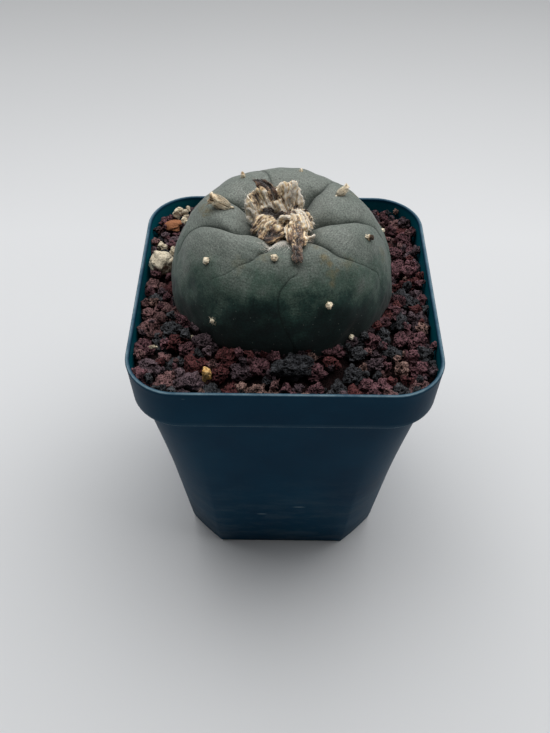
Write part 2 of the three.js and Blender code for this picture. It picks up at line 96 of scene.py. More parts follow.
def square_ring(width, corner, z, cut=0.0):
    """A square ring at one height. Its round corners are flattened by a share, cut."""
    points = []
    middle = width / 2 - corner
    for quarter in range(4):
        turn = quarter * math.pi / 2
        for angle in np.linspace(0, math.pi / 2, CORNER_STEPS):
            share = angle / (math.pi / 2)
            x = middle + corner * ((1 - cut) * math.cos(angle) + cut * (1 - share))
            y = middle + corner * ((1 - cut) * math.sin(angle) + cut * share)
            points.append((x, y, turn))
        for share in np.linspace(0, 1, SIDE_STEPS + 2)[1:-1]:
            points.append((middle * (1 - 2 * share), width / 2, turn))
    return np.array([
        (x * math.cos(turn) - y * math.sin(turn), x * math.sin(turn) + y * math.cos(turn), z)
        for x, y, turn in points
    ])


def edge_arc(width, corner, z, radius, start, stop, cut=0.0):
    """Rings that round an edge off, from one angle of its section to another."""
    rings = []
    for angle in np.radians(np.linspace(start, stop, EDGE_STEPS)):
        out = radius * math.cos(angle)
        rings.append(square_ring(width + 2 * out, corner + out, z + radius * math.sin(angle), cut))
    return rings


def loft(rings):
    """Points and triangles of a closed skin over rings with equal numbers of points."""
    count = len(rings[0])
    points = np.concatenate([*rings, [rings[0].mean(0), rings[-1].mean(0)]])
    here = np.arange(count)
    after = (here + 1) % count
    faces = []
    for ring in range(len(rings) - 1):
        a, b = ring * count + here, ring * count + after
        faces += [np.stack([a, b, b + count], 1), np.stack([a, b + count, a + count], 1)]
    first, last = len(points) - 2, len(points) - 1
    end = (len(rings) - 1) * count
    faces.append(np.stack([np.full(count, first), after, here], 1))
    faces.append(np.stack([np.full(count, last), end + here, end + after], 1))
    return points, np.concatenate(faces)


def add_object(name, data):
    """An object of a mesh, a lamp or a camera, put into the scene."""
    made = bpy.data.objects.new(name, data)
    bpy.context.scene.collection.objects.link(made)
    return made


def plain_mesh(name, points, faces):
    """A mesh in metres from points in millimetres."""
    mesh = bpy.data.meshes.new(name)
    mesh.from_pydata((points * MM).tolist(), [], faces.tolist())
    return mesh


def add_mesh(name, points, faces, material, **fields):
    """A smooth mesh object. Each field is a number or a vector for every point."""
    mesh = plain_mesh(name, points, faces)
    mesh.shade_smooth()
    for field, values in fields.items():
        kind, part = ("FLOAT_VECTOR", "vector") if np.ndim(values) == 2 else ("FLOAT", "value")
        mesh.attributes.new(field, kind, "POINT").data.foreach_set(part, np.ravel(values))
    mesh.materials.append(material)
    return add_object(name, mesh)


class Look:
    """The shader nodes of one material, or of the sky. Most of its methods add a node
    and give its output. A plain colour is a tuple of three numbers."""

    def __init__(self, data, shader="Principled BSDF", **values):
        data.use_nodes = True
        self.data = data
        self.tree = data.node_tree
        self.shader = self.tree.nodes[shader]
        self.shade(**values)

    def feed(self, socket, value):
        """Gives an input a link or a value."""
        if isinstance(value, bpy.types.NodeSocket):
            self.tree.links.new(value, socket)
        else:
            socket.default_value = value

    def shade(self, **values):
        """Gives the shader's own sockets their inputs, by their names."""
        for socket, value in values.items():
            self.feed(self.shader.inputs[socket.replace("_", " ")], value)

    def node(self, kind, inputs=None, **settings):
        """A node with its settings, and a value or a link for each named input."""
        made = self.tree.nodes.new("ShaderNode" + kind)
        for setting, value in settings.items():
            setattr(made, setting, value)
        for socket, value in (inputs or {}).items():
            self.feed(made.inputs[socket], value)
        return made

    def place(self, kind="Object"):
        """The places on a piece, or the ways out into the sky."""
        return self.node("TexCoord").outputs[kind]

    def field(self, field):
        """A number that each point of the mesh carries."""
        return self.node("Attribute", attribute_name=field).outputs["Fac"]

    def axis(self, vector, axis):
        """One of the three numbers of a vector: X, Y or Z."""
        return self.node("SeparateXYZ", {0: vector}).outputs[axis]

    def noise(self, vector, scale, detail=4.0, roughness=0.5):
        """A cloudy noise of a scale in cells a metre."""
        inputs = {"Vector": vector, "Scale": scale, "Detail": detail, "Roughness": roughness}
        return self.node("TexNoise", inputs).outputs["Fac"]

    def cells(self, vector, scale, feature="F1"):
        """How far places are from the middles of random cells, or from their walls."""
        inputs = {"Vector": vector, "Scale": scale}
        return self.node("TexVoronoi", inputs, feature=feature).outputs["Distance"]

    def math(self, operation, *values):
        """What an operation makes of values, each a number or a socket."""
        return self.node("Math", dict(enumerate(values)), operation=operation).outputs[0]

    def range(self, value, start, stop, low=0.0, high=1.0):
        """A number that goes from low to high while a value goes from start to stop."""
        inputs = {"Value": value, "From Min": start, "From Max": stop, "To Min": low, "To Max": high}
        return self.node("MapRange", inputs).outputs[0]

    def ramp(self, factor, *stops):
        """The colours of a ramp over a factor. Each stop is a place and a grey or a colour."""
        made = self.node("ValToRGB", {"Fac": factor})
        while len(made.color_ramp.elements) < len(stops):
            made.color_ramp.elements.new(1.0)
        for element, (place, colour) in zip(made.color_ramp.elements, stops):
            element.position = place
            element.color = (*(colour if isinstance(colour, tuple) else (colour,) * 3), 1.0)
        return made.outputs["Color"]

    def mix(self, factor, first, second, blend="MIX"):
        """Two colours mixed."""
        made = self.node("Mix", {0: factor}, data_type="RGBA", blend_type=blend)
        for socket, colour in ((6, first), (7, second)):
            self.feed(made.inputs[socket], (*colour, 1.0) if isinstance(colour, tuple) else colour)
        return made.outputs[2]

    def product(self, first, second):
        """Two colours or greys multiplied."""
        return self.mix(1.0, first, second, "MULTIPLY")

    def bump(self, height, strength, distance):
        """Relief too fine for the mesh, on the shader's normal."""
        inputs = {"Height": height, "Strength": strength, "Distance": distance}
        self.shade(Normal=self.node("Bump", inputs).outputs["Normal"])


def smoothstep(start, stop, value):
    """0 up to the start and 1 from the stop on, with a smooth rise between them."""
    share = np.clip((value - start) / (stop - start), 0, 1)
    return share * share * (3 - 2 * share)


def width_at(z):
    """The pot's width outside at a height below the skirt."""
    return BASE_WIDTH + (NECK_WIDTH - BASE_WIDTH) * z / SKIRT_Z


def corner_at(z):
    """The radius of the pot's corners at a height below the skirt."""
    return BASE_CORNER + (NECK_CORNER - BASE_CORNER) * z / SKIRT_Z


def cut_at(z):
    """How far the corners are flattened at a height: cut at the foot, round at the neck."""
    return BASE_CORNER_CUT * max(1 - z / CUT_END_Z, 0)


def wall_ring(z, inset=0.0):
    """The pot's outline at a height below the skirt, or a ring that far inside it."""
    return square_ring(width_at(z) - 2 * inset, corner_at(z) - inset, z, cut_at(z))


def pot_rings():
    """The pot's section from the middle of its recess, up outside and down inside, with how
    pale each ring is from rubbing and painted highlight, and whether it is inside the mouth."""
    recess_corner = BASE_CORNER - 4
    cut = cut_at(0)
    rings = []
    for share in (CENTRE_SHARE, 0.4, 0.75, 1):
        rings.append(square_ring(RECESS_WIDTH * share, recess_corner * share, FOOT_RECESS, cut))
    edge = RECESS_ROUND
    rings += edge_arc(RECESS_WIDTH + 2 * edge, recess_corner + edge, edge, edge, 180, 270, cut)
    edge = FOOT_ROUND
    rings += edge_arc(BASE_WIDTH - 2 * edge, BASE_CORNER - edge, edge, edge, 270, 360, cut)
    for z in np.linspace(3, SKIRT_Z - 0.7, OUTSIDE_STEPS):
        rings.append(wall_ring(z))
    rings.append(square_ring(NECK_WIDTH + 0.1, NECK_CORNER, SKIRT_Z - 0.1))
    # Pale bands on the thin edges below: partly rubbed plastic, partly a painted highlight where those edges
    # catch the light.
    worn = [0.0] * len(rings)
    edge = SKIRT_ROUND
    rings += edge_arc(SKIRT_FOOT_WIDTH - 2 * edge, RIM_CORNER - edge, SKIRT_Z + edge, edge, 270, 360)
    worn += [0.0, 0.15, 0.5, 0.7, 0.3, 0.1]
    for share in np.linspace(0.1, 1, BEAD_STEPS):
        width = SKIRT_FOOT_WIDTH + (BEAD_FOOT_WIDTH - SKIRT_FOOT_WIDTH) * share
        rings.append(square_ring(width, RIM_CORNER, SKIRT_Z + 0.6 + BEAD_RISE * share))
    worn += [0.0] * BEAD_STEPS
    rings += edge_arc(RIM_WIDTH - 2 * edge, RIM_CORNER - edge, POT_HEIGHT - edge, edge, 0, 90)
    worn += [0.0, 0.05, 0.15, 0.45, 0.8, 0.45]
    mouth = RIM_WIDTH - 2 * LIP
    edge = LIP_ROUND
    rings += edge_arc(mouth + 2 * edge, RIM_CORNER - LIP + edge, POT_HEIGHT - edge, edge, 90, 180)
    worn += [0.3, 0.2, 0.1, 0.1, 0.0, 0.0]
    outside = len(rings)
    ledge = SKIRT_FOOT_WIDTH - 2 * WALL
    for share in np.linspace(0, 1, 5):
        z = SKIRT_INSIDE_TOP - SKIRT_INSIDE_DROP * share
        rings.append(square_ring(mouth + (ledge - mouth) * share, RIM_CORNER - LIP, z))
    for z in np.linspace(NECK_INSIDE_Z, FOOT_INSIDE_Z, INSIDE_STEPS):
        rings.append(wall_ring(z, WALL))
    floor = width_at(FLOOR_TOP) - 2 * WALL
    corner = corner_at(FLOOR_TOP) - WALL
    cut = cut_at(FLOOR_TOP)
    rings.append(square_ring(floor - 0.6, corner - 0.3, FLOOR_TOP + 0.3, cut))
    for share in (1, 0.75, 0.4, CENTRE_SHARE):
        rings.append(square_ring((floor - 2) * share, (corner - 1) * share, FLOOR_TOP, cut))
    worn += [0.0] * (len(rings) - outside)
    return rings, worn, [0.0] * outside + [1.0] * (len(rings) - outside)


# Small nicks and pale specks on the front: place and radius
POT_MARKS = [
    ((-37.1, -44.3, 94.6), 0.7), ((-27.3, -44.2, 91.1), 0.5), ((15.9, -44.1, 90.1), 0.32),
    ((12.9, -43.9, 86.5), 0.4), ((-10.6, -43.8, 82.5), 0.28), ((33.0, -43.0, 87.0), 0.3),
    ((-6.6, -34.4, 21.4), 0.9), ((5.6, -35.0, 26.8), 1.1),
]
# Scuffs and nicks are longer across the wall than up it
SCUFF_STRETCH = (0.35, 0.35, 1.5)


def plastic_finish():
    """Satin plastic: cloudy dark teal, dusty low down, pale along its thin edges from rubbing
    and painted highlight, and a lighter teal inside the mouth that is painted light.
    """
    look = Look(bpy.data.materials.new("dark_teal_plastic"), Roughness=0.42, Specular_IOR_Level=0.04)
    place = look.place()
    cloud = look.noise(place, 45.0, 5.0)
    outer = look.ramp(cloud, (0.3, (0.0006, 0.028, 0.062)), (0.7, (0.0016, 0.042, 0.084)))
    # Inside the mouth the plastic is a lighter teal: painted light that stands in for light shining through
    # the thin wall.
    inner = look.ramp(cloud, (0.3, (0.002, 0.092, 0.130)), (0.7, (0.004, 0.117, 0.158)))
    teal = look.mix(look.field("inside"), outer, inner)
    low = look.range(look.axis(place, "Z"), 0.004, 0.05, 1.0, 0.0)
    wiped = look.node("Mapping", {"Vector": place, "Scale": SCUFF_STRETCH}).outputs[0]
    scuffs = look.ramp(look.noise(wiped, 150.0, 9.0, 0.75), (0.47, 0.0), (0.72, 0.6))
    dusty = look.mix(look.product(low, scuffs), teal, (0.09, 0.12, 0.14))
    fleck = look.node("TexVoronoi", {"Vector": place, "Scale": 105.0})
    dots = look.ramp(fleck.outputs["Distance"], (0.0, 1.0), (0.02, 1.0), (0.035, 0.0))
    few = look.ramp(look.axis(fleck.outputs["Color"], "X"), (0.86, 0.0), (0.9, 0.45))
    marked = look.mix(look.product(dots, few), dusty, (0.16, 0.22, 0.25))
    for middle, radius in POT_MARKS:
        away = look.node(
            "VectorMath", {0: wiped, 1: Vector(middle) * MM * Vector(SCUFF_STRETCH)},
            operation="DISTANCE",
        ).outputs["Value"]
        ragged = look.math("ADD", away, look.math("MULTIPLY", cloud, 0.0006))
        spot = look.range(ragged, 0.6 * radius * MM, 1.1 * radius * MM, 0.5, 0.0)
        marked = look.mix(spot, marked, (0.22, 0.29, 0.32))
    # Pale patches on the thin edges: partly rubbed plastic, partly a painted highlight where they catch the
    # light.
    patchy = look.ramp(look.noise(place, 140.0, 6.0, 0.7), (0.3, 0.25), (0.62, 1.0))
    edge_rub_and_highlight = look.math("MULTIPLY", look.field("worn"), patchy)
    look.shade(Base_Color=look.mix(edge_rub_and_highlight, marked, (0.27, 0.40, 0.46)))
    look.bump(look.noise(place, 900.0, 6.0), 0.12, 0.0002)
    return look.data


def applied(piece):
    """A new mesh of a piece with its modifiers applied."""
    return bpy.data.meshes.new_from_object(piece.evaluated_get(bpy.context.evaluated_depsgraph_get()))


def cut_drains(pot):
    """Cuts the five drain holes through the floor. Points of the cut that lie closer
    than a sliver are merged, which leaves no flat triangles."""
    cutter = bmesh.new()
    for x, y in DRAINS:
        place = Matrix.Translation(Vector((x * DRAIN_PLACE, y * DRAIN_PLACE, FLOOR_TOP)) * MM)
        bmesh.ops.create_cone(
            cutter, cap_ends=True, segments=40, radius1=DRAIN_RADIUS * MM, radius2=DRAIN_RADIUS * MM,
            depth=5 * MM, matrix=place,
        )
    mesh = bpy.data.meshes.new("drain_cutter")
    cutter.to_mesh(mesh)
    cutter.free()
    drains = add_object("drain_cutter", mesh)
    cut = pot.modifiers.new("drains", "BOOLEAN")
    cut.operation = "DIFFERENCE"
    cut.solver = "EXACT"
    cut.object = drains
    cut_mesh = applied(pot)
    pot.modifiers.clear()
    cleaned = bmesh.new()
    cleaned.from_mesh(cut_mesh)
    bmesh.ops.remove_doubles(cleaned, verts=cleaned.verts, dist=SLIVER * MM)
    cleaned.to_mesh(cut_mesh)
    cleaned.free()
    pot.data = cut_mesh
    bpy.data.objects.remove(drains)


rings, worn, inside = pot_rings()
around = len(rings[0])
pot = add_mesh(
    "nursery_pot", *loft(rings), plastic_finish(),
    worn=[*np.repeat(worn, around), 0, 0], inside=[*np.repeat(inside, around), 0, 1],
)
cut_drains(pot)
pot.data.set_sharp_from_angle(angle=math.radians(40))
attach(pot, "root")
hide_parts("pot")

# The plant is one grey-green, flat-topped body with eight broad ribs, which
# grows on a tap root below the grit. The ribs are soft and full at the crown,
# folded in deep furrows that run out to fine lines on the sides.
PLANT_X = -1.1
PLANT_Y = 1.5
EQUATOR_RADIUS = 32.4
EQUATOR_REACH = 53.5
BODY_MIDDLE_Z = 96
CROWN_DRIFT_X = 0.4
CROWN_DRIFT_Y = -2.6
CROWN_DRIFT_REACH = 26.0
RIB_BULGE = 1.1
BULGE_RISE = (2, 12)
BULGE_FADE = (22, 50)
BULGE_FADE_SHARE = 0.65
BULGE_END = (56, 68)
FURROW_WIDTH = 1.8
SHOULDER_WIDTH = 5.0
LINE_DEPTH = 0.28
LINE_WIDTH = 0.3
# Painted shade of the furrows: how dark it is in the folds and along the fine lines, and how far it spreads
FOLD_PAINTED_SHADE = 0.75
FOLD_PAINTED_SHADE_WIDTH = 0.55
CROWN_PAINTED_SHADE_WIDTH = 2.2
LINE_PAINTED_SHADE = 0.8
LINE_PAINTED_SHADE_WIDTH = 0.28
# The outline from the crown to the root's tip, as radii and heights
PLANT_OUTLINE = np.array([
    (0, 112.4), (4, 113.8), (8.1, 117.2), (14.2, 119.6), (20.1, 118.6), (25.9, 113.5),
    (29.8, 106.5), (32.2, 98.8), (EQUATOR_RADIUS, 92), (29.4, 86), (23.5, 79),
    (16, 72), (10, 64), (7, 54), (4.5, 44), (2.2, 35), (0, 31),
])
# Each furrow's way out from the crown, as distances from the axis and azimuths
FURROWS = [
    [(8.6, -6), (14.4, -11), (19.3, -8), (23.3, -3), (26.1, 0), (29.5, -2)],
    [(8.6, 49), (12.8, 48), (15.9, 45), (22.3, 48), (29, 47)],
    [(9, 104), (13.8, 104), (18.3, 105), (21.8, 108), (29, 104)],
    [(9, 160), (13.3, 159), (16.4, 160), (22, 155), (29, 152)],
    [(9.8, 216), (15.5, 211), (18.7, 200), (22.8, 189), (25.9, 186), (29, 188)],
    [(9.5, 252), (16.4, 255), (18.8, 251), (21.3, 248), (23.3, 241), (25.7, 235), (27.3, 228), (29, 222)],
    [(9.5, 284), (22.3, 281), (24.3, 275), (26.1, 270), (27.6, 268), (29.7, 269), (31.5, 273), (32.4, 276)],
    [(9.5, 308), (14.4, 308), (19.3, 310), (22.3, 312), (24.8, 319), (26.9, 326), (29.2, 334)],
]
# Each furrow's depth, how far down the skin its fold ends, where its fine line
# starts and ends, and how plain that line is
FURROW_ENDS = [
    (2.8, 31, 6, 40, 0.6), (2.4, 26, 6, 36, 0.5), (1.7, 18, 2, 31, 0.8), (2.6, 24, 6, 30, 0.5),
    (2.8, 31, 6, 43, 0.7), (2.7, 27, 6, 38, 0.35), (1.3, 26, 22, 72, 0.9), (2.8, 30, 6, 44, 0.55),
]
RIB_COLUMNS = 40
COLUMN_CROWDING = 0.8
FINE_ROW = 0.42
FINE_ROWS_END = 64.0
ROOT_ROW = 4.0


def spline_through(knots, steps=120):
    """A smooth line through points, with its length up to each place."""
    ends = np.concatenate([knots[:1], knots, knots[-1:]])
    share = np.linspace(0, 1, steps, endpoint=False)[:, None]
    pieces = []
    for i in range(len(knots) - 1):
        before, start, stop, after = ends[i:i + 4]
        leave, arrive = (stop - before) / 2, (after - start) / 2
        cubic = 2 * start - 2 * stop + leave + arrive
        square = -3 * start + 3 * stop - 2 * leave - arrive
        pieces.append(cubic * share ** 3 + square * share ** 2 + leave * share + start)
    line = np.concatenate([*pieces, knots[-1:]])
    return line, np.concatenate([[0], np.cumsum(np.linalg.norm(np.diff(line, axis=0), axis=1))])


outline, outline_along = spline_through(PLANT_OUTLINE)
OUTLINE_LENGTH = outline_along[-1]
outline_way = np.gradient(outline, outline_along, axis=0)
furrow_lines = [spline_through(np.array(furrow, float), 20)[0] for furrow in FURROWS]


def along_outline(table, along):
    """Values of a table over the outline, at distances along it from the crown."""
    return np.stack([np.interp(along, outline_along, table[:, axis]) for axis in (0, 1)], -1)


def rib_azimuth(rib, share, reach):
    """The azimuth of a place on a rib, by its share of the way over that rib."""
    turned = []
    for side in (rib, rib + 1):
        line = furrow_lines[side % len(FURROWS)]
        turned.append(np.interp(reach, line[:, 0], line[:, 1]) + 360 * (side // len(FURROWS)))
    return turned[0] + (turned[1] - turned[0]) * share, turned[1] - turned[0]


def fold_depth(furrow, along):
    """How deep a furrow's fold is at distances from the crown."""
    depth, fold_end = FURROW_ENDS[furrow % len(FURROWS)][:2]
    return depth * smoothstep(1, 9, along) * (1 - smoothstep(0.4 * fold_end, fold_end, along))


def line_strength(furrow, along):
    """How plain a furrow's fine line is, from 0 to 1. It fades in and out."""
    line_start, line_end, plain = FURROW_ENDS[furrow % len(FURROWS)][2:]
    fading = 1 - smoothstep(line_end - 9, line_end, along)
    return plain * smoothstep(line_start, line_start + 10, along) * fading


def distances_across(along, rib, share):
    """How far a place is from the furrows on both sides of its rib, in millimetres."""
    reach = np.where(along < EQUATOR_REACH, along_outline(outline, along)[..., 0], EQUATOR_RADIUS)
    width = np.radians(rib_azimuth(rib, 0, reach)[1]) * along_outline(outline, along)[..., 0]
    return share * width, (1 - share) * width


def skin_point(along, rib, share, lift=0.0):
    """A place on the plant's skin. The crown lies a little in front of the axis."""
    point, way = along_outline(outline, along), along_outline(outline_way, along)
    radius, height = point[..., 0], point[..., 1]
    reach = np.where(along < EQUATOR_REACH, radius, EQUATOR_RADIUS)
    azimuth, turn = rib_azimuth(rib, share, reach)
    spread = np.minimum(FURROW_WIDTH, np.radians(turn) * radius / 4) + 0.01
    fading = 1 - BULGE_FADE_SHARE * smoothstep(*BULGE_FADE, along)
    full = RIB_BULGE * smoothstep(*BULGE_RISE, along) * fading
    push = lift + full * (1 - smoothstep(*BULGE_END, along))
    for side, away in zip((rib, rib + 1), distances_across(along, rib, share)):
        depth, fold_end = FURROW_ENDS[side % len(FURROWS)][:2]
        shoulder = min(depth / 2, 1) * (1 - smoothstep(0.7 * fold_end, 1.35 * fold_end, along))
        push = push - full * shoulder * np.exp(-away / SHOULDER_WIDTH)
        push = push - fold_depth(side, along) * np.exp(-away / spread)
        push = push - LINE_DEPTH * line_strength(side, along) * np.exp(-away / LINE_WIDTH)
    out = np.maximum(radius - way[..., 1] * push, 0)
    drift = (1 - np.minimum(reach / CROWN_DRIFT_REACH, 1) ** 2) ** 2
    azimuth = np.radians(azimuth)
    return np.stack([
        PLANT_X + out * np.cos(azimuth) + CROWN_DRIFT_X * drift,
        PLANT_Y + out * np.sin(azimuth) + CROWN_DRIFT_Y * drift,
        height + way[..., 0] * push,
    ], -1)


def ripple(points, length, seed, count=8):
    """A smooth random field over places in space, mostly from -1 to 1."""
    draw = np.random.default_rng(seed)
    ways = draw.normal(size=(count, 3))
    lengths = length * np.linalg.norm(ways, axis=1) * draw.uniform(0.7, 1.5, count)
    ways *= 2 * math.pi / lengths[:, None]
    return np.sin(points @ ways.T + draw.uniform(0, 2 * math.pi, count)).sum(1) / math.sqrt(count)


def plant_mesh():
    """The plant's skin as rings, with its columns closest beside the furrows, how much
    painted shade the furrows give each point and how far it is along the outline from the crown."""
    even = np.arange(RIB_COLUMNS) / RIB_COLUMNS
    shares = even - COLUMN_CROWDING * np.sin(2 * math.pi * even) / (2 * math.pi)
    fine = np.arange(1.2, FINE_ROWS_END, FINE_ROW)
    coarse = np.arange(FINE_ROWS_END, OUTLINE_LENGTH - 1, ROOT_ROW)
    rows = np.concatenate([fine, coarse, [OUTLINE_LENGTH - 0.6]])
    rings, furrows, alongs = [], [], []
    for along in rows[::-1]:
        at = np.full(RIB_COLUMNS, along)
        rings.append(np.concatenate([skin_point(at, rib, shares) for rib in range(len(FURROWS))]))
        for rib in range(len(FURROWS)):
            # Painted shade from the furrows on both sides: wide in the folds near the crown, thin along the
            # fine lines
            dark = np.zeros(RIB_COLUMNS)
            valley = FOLD_PAINTED_SHADE_WIDTH + CROWN_PAINTED_SHADE_WIDTH * (1 - smoothstep(8, 19, along))
            for side, away in zip((rib, rib + 1), distances_across(at, rib, shares)):
                fold = min(fold_depth(side, along), 1)
                line = line_strength(side, along)
                dark = np.maximum(dark, FOLD_PAINTED_SHADE * fold * np.exp(-away / valley))
                dark = np.maximum(dark, LINE_PAINTED_SHADE * line * np.exp(-away / LINE_PAINTED_SHADE_WIDTH))
            furrows.append(dark)
        alongs.append(np.full(RIB_COLUMNS * len(FURROWS), along))
    points, faces = loft(rings)
    furrows = np.concatenate([*furrows, [0, 0]])
    alongs = np.concatenate([*alongs, [rows[-1], rows[0]]])
    return points, faces, furrows, alongs


# Where the skin has a corky yellow-brown mark: place (along, azimuth), size, strength
SKIN_MARKS = [
    (24.0, 301, 1.7, 0.75), (26.0, 302, 1.3, 0.75), (28.5, 302, 1.5, 0.65), (31.0, 300, 1.2, 0.6),
    (19.5, 302, 1.8, 0.35), (23.5, 178, 2.0, 0.6), (25.5, 171, 1.6, 0.45), (26.5, 27, 1.8, 0.45),
    (21.5, 256, 2.0, 0.3), (28.0, 315, 2.4, 0.3), (26.0, 240, 2.4, 0.2), (35.0, 347, 2.0, 0.3),
]


def rib_under(along, azimuth):
    """The rib and the share of the way over it where an azimuth falls."""
    reach = along_outline(outline, along)[0] if along < EQUATOR_REACH else EQUATOR_RADIUS
    for rib in range(len(FURROWS)):
        start, turn = rib_azimuth(rib, 0.0, reach)
        turned = (azimuth - start) % 360
        if turned < turn:
            return rib, turned / turn
    return 0, 0.0


def on_skin(along, azimuth, lift=0.0):
    """A place on or over the skin, by its way along the outline and its azimuth."""
    rib, share = rib_under(along, azimuth)
    return skin_point(np.array(along), rib, np.array(share), lift)


def skin_finish():
    """Waxy grey-green skin: a pale waxy coat over deep green, fine specks and faint rings, and
    painted shade low down, on the front and in the furrows.
    """
    look = Look(bpy.data.materials.new("waxy_cactus_skin"), Specular_IOR_Level=0.12, Sheen_Weight=0.12)
    place = look.place()
    along, mark = look.field("along"), look.field("mark")
    upright = look.node("Mapping", {"Vector": place, "Scale": (1.0, 1.0, 0.28)}).outputs[0]
    patches = look.noise(place, 95.0, 6.0, 0.65)
    streaks = look.noise(upright, 420.0, 5.0, 0.65)
    # Paler towards the crown and darker low down: partly the waxy coat, partly painted shade on the lower
    # body. The front is darker than the sides and back: painted shade.
    high = look.range(along, 62.0, 7.0)
    turned = look.range(look.axis(place, "Y"), -0.033, -0.012, -0.22, 0.13)
    faint = look.math("MULTIPLY_ADD", patches, 0.9, 0.045)
    whole = look.math("ADD", look.math("ADD", faint, high), turned)
    bloom_and_painted_shade = look.math("ADD", whole, look.math("MULTIPLY", streaks, 0.25))
    green = look.ramp(
        look.math("MULTIPLY", bloom_and_painted_shade, 0.43),
        (0.25, (0.002, 0.008, 0.008)), (0.36, (0.006, 0.020, 0.018)), (0.42, (0.021, 0.052, 0.042)),
        (0.48, (0.080, 0.128, 0.100)), (0.58, (0.172, 0.202, 0.176)), (0.75, (0.255, 0.275, 0.248)),
    )
    speck = look.noise(place, 2300.0, 4.0, 0.75)
    specked = look.product(green, look.ramp(speck, (0.34, 0.44), (0.65, 1.22)))
    dot = look.ramp(look.cells(place, 640.0), (0.05, 0.3), (0.13, 0.0))
    dotted = look.mix(dot, specked, (0.30, 0.34, 0.29))
    waver = look.noise(place, 110.0, 3.0, 0.6)
    bent = look.math("MULTIPLY_ADD", waver, 3.4, along)
    rings = look.math("SINE", look.math("MULTIPLY", bent, 7.4))
    ring_patches = look.ramp(patches, (0.42, 0.0), (0.66, 0.6))
    ringing = look.math("ADD", look.math("MULTIPLY", rings, ring_patches), 0.6)
    ringed = look.product(dotted, look.ramp(ringing, (0.2, 0.88), (1.0, 1.04)))
    cork = look.ramp(speck, (0.3, (0.10, 0.075, 0.03)), (0.7, (0.25, 0.21, 0.11)))
    corky = look.mix(mark, ringed, cork)
    # Painted shade darkens the furrows' folds and fine lines.
    furrow_shaded = look.mix(look.field("furrow"), corky, (0.006, 0.014, 0.011))
    look.shade(Base_Color=furrow_shaded, Roughness=look.ramp(patches, (0.3, 0.52), (0.7, 0.7)))
    look.bump(look.math("MULTIPLY_ADD", speck, 7.0, rings), 0.25, 0.00002)
    return look.data


points, faces, furrows, alongs = plant_mesh()
marks = np.zeros(len(points))
for mark_along, mark_azimuth, mark_size, strength in SKIN_MARKS:
    away = np.linalg.norm(points - on_skin(mark_along, mark_azimuth), axis=1)
    ragged = away / mark_size + 0.35 * ripple(points, 1.8, 11) + 0.2 * ripple(points, 0.8, 12)
    marks = np.maximum(marks, strength * (1 - smoothstep(0.1, 1.3, ragged)) * (away < 2 * mark_size))
swell = 0.2 * ripple(points, 9, 5) + 0.06 * ripple(points, 3.2, 6)
away = points - np.array([PLANT_X, PLANT_Y, BODY_MIDDLE_Z])
points = points + swell[:, None] * away / np.linalg.norm(away, axis=1)[:, None]
plant = add_mesh("ribbed_plant", points, faces, skin_finish(), furrow=furrows, along=alongs, mark=marks)
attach(plant, "root")
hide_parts("cactus_body")

# Each rib bears small tufts of cream wool in place of spines. A tuft is a tight
# ball or brush of short hairs that grow out of one spot on the skin; a few old
# ones are long and lie over, away from the crown, or have a dark dry tip.
TUFT_HAIRS = 90
LONG_TUFT = 3
HAIR_RADII = (0.055, 0.015)
# One flat tuft has more hairs, which lie on the skin like a star
STAR_PLACE = np.array([43.7, 234.0])
STAR_HAIRS = 30
DEGREES_PER_MM = 1.8
HAIR_STEPS = 5
HAIR_SIDES = 3
# Each tuft's place (along, azimuth), width, length, lean to the crown and dark of tip
TUFTS = [
    (29.5, 219, 1.9, 1.5, 0.15, 0.0), (43.7, 234, 1.2, 1.0, 0, 0.0), (22.3, 264, 2.0, 1.5, 0.2, 0.1),
    (36.2, 295, 1.8, 1.4, 0, 0.0), (48.7, 306, 1.4, 1.1, 0, 0.0), (27.0, 342, 1.6, 2.1, -0.7, 1.0),
    (18.9, 25, 1.5, 3.9, -1.0, 0.0), (21.0, 74, 1.0, 0.9, 0, 0.0), (20.5, 128, 1.2, 1.9, 0.1, 0.25),
    (17.2, 175, 2.6, 6.0, -1.2, 0.12), (36.2, 10, 1.2, 1.0, 0, 0.0), (46, 22, 1.5, 1.2, 0, 0.0),
    (37, 70, 1.7, 1.4, 0.1, 0.0), (51, 84, 1.3, 1.0, 0, 0.0), (36, 126, 1.6, 1.3, 0.1, 0.1),
    (49, 138, 1.4, 1.1, 0, 0.0), (34, 168, 1.7, 1.4, 0.1, 0.1), (46.5, 176, 1.4, 1.1, 0, 0.0),
    (17.4, 175, 1.5, 2.2, -1.0, 0.0),
]


def tube_bundle(paths, radii, sides=HAIR_SIDES):
    """Closed thin tubes along many paths at once, as points and triangles."""
    count, steps, _ = paths.shape
    ways = np.gradient(paths, axis=1)
    ways /= np.linalg.norm(ways, axis=2, keepdims=True) + 1e-9
    chord = paths[:, -1] - paths[:, 0]
    helper = np.cross(chord, np.where(np.abs(chord[:, 2:]) < np.abs(chord[:, :1]), [0, 0, 1.0], [1.0, 0, 0]))
    across = np.cross(ways, helper[:, None])
    across /= np.linalg.norm(across, axis=2, keepdims=True) + 1e-9
    through = np.cross(ways, across)
    angles = np.arange(sides) * 2 * math.pi / sides
    points = paths[:, :, None] + radii[:, :, None, None] * (
        across[:, :, None] * np.cos(angles)[:, None] + through[:, :, None] * np.sin(angles)[:, None]
    )
    corner = np.arange(sides)
    after = (corner + 1) % sides
    one = []
    for step in range(steps - 1):
        a, b = step * sides + corner, step * sides + after
        one += [np.stack([a, b, b + sides], 1), np.stack([a, b + sides, a + sides], 1)]
    last = (steps - 1) * sides
    one.append([(0, i + 1, i) for i in range(1, sides - 1)])
    one.append([(last, last + i, last + i + 1) for i in range(1, sides - 1)])
    one = np.concatenate(one)
    faces = one[None] + (np.arange(count) * steps * sides)[:, None, None]
    return points.reshape(-1, 3), faces.reshape(-1, 3)


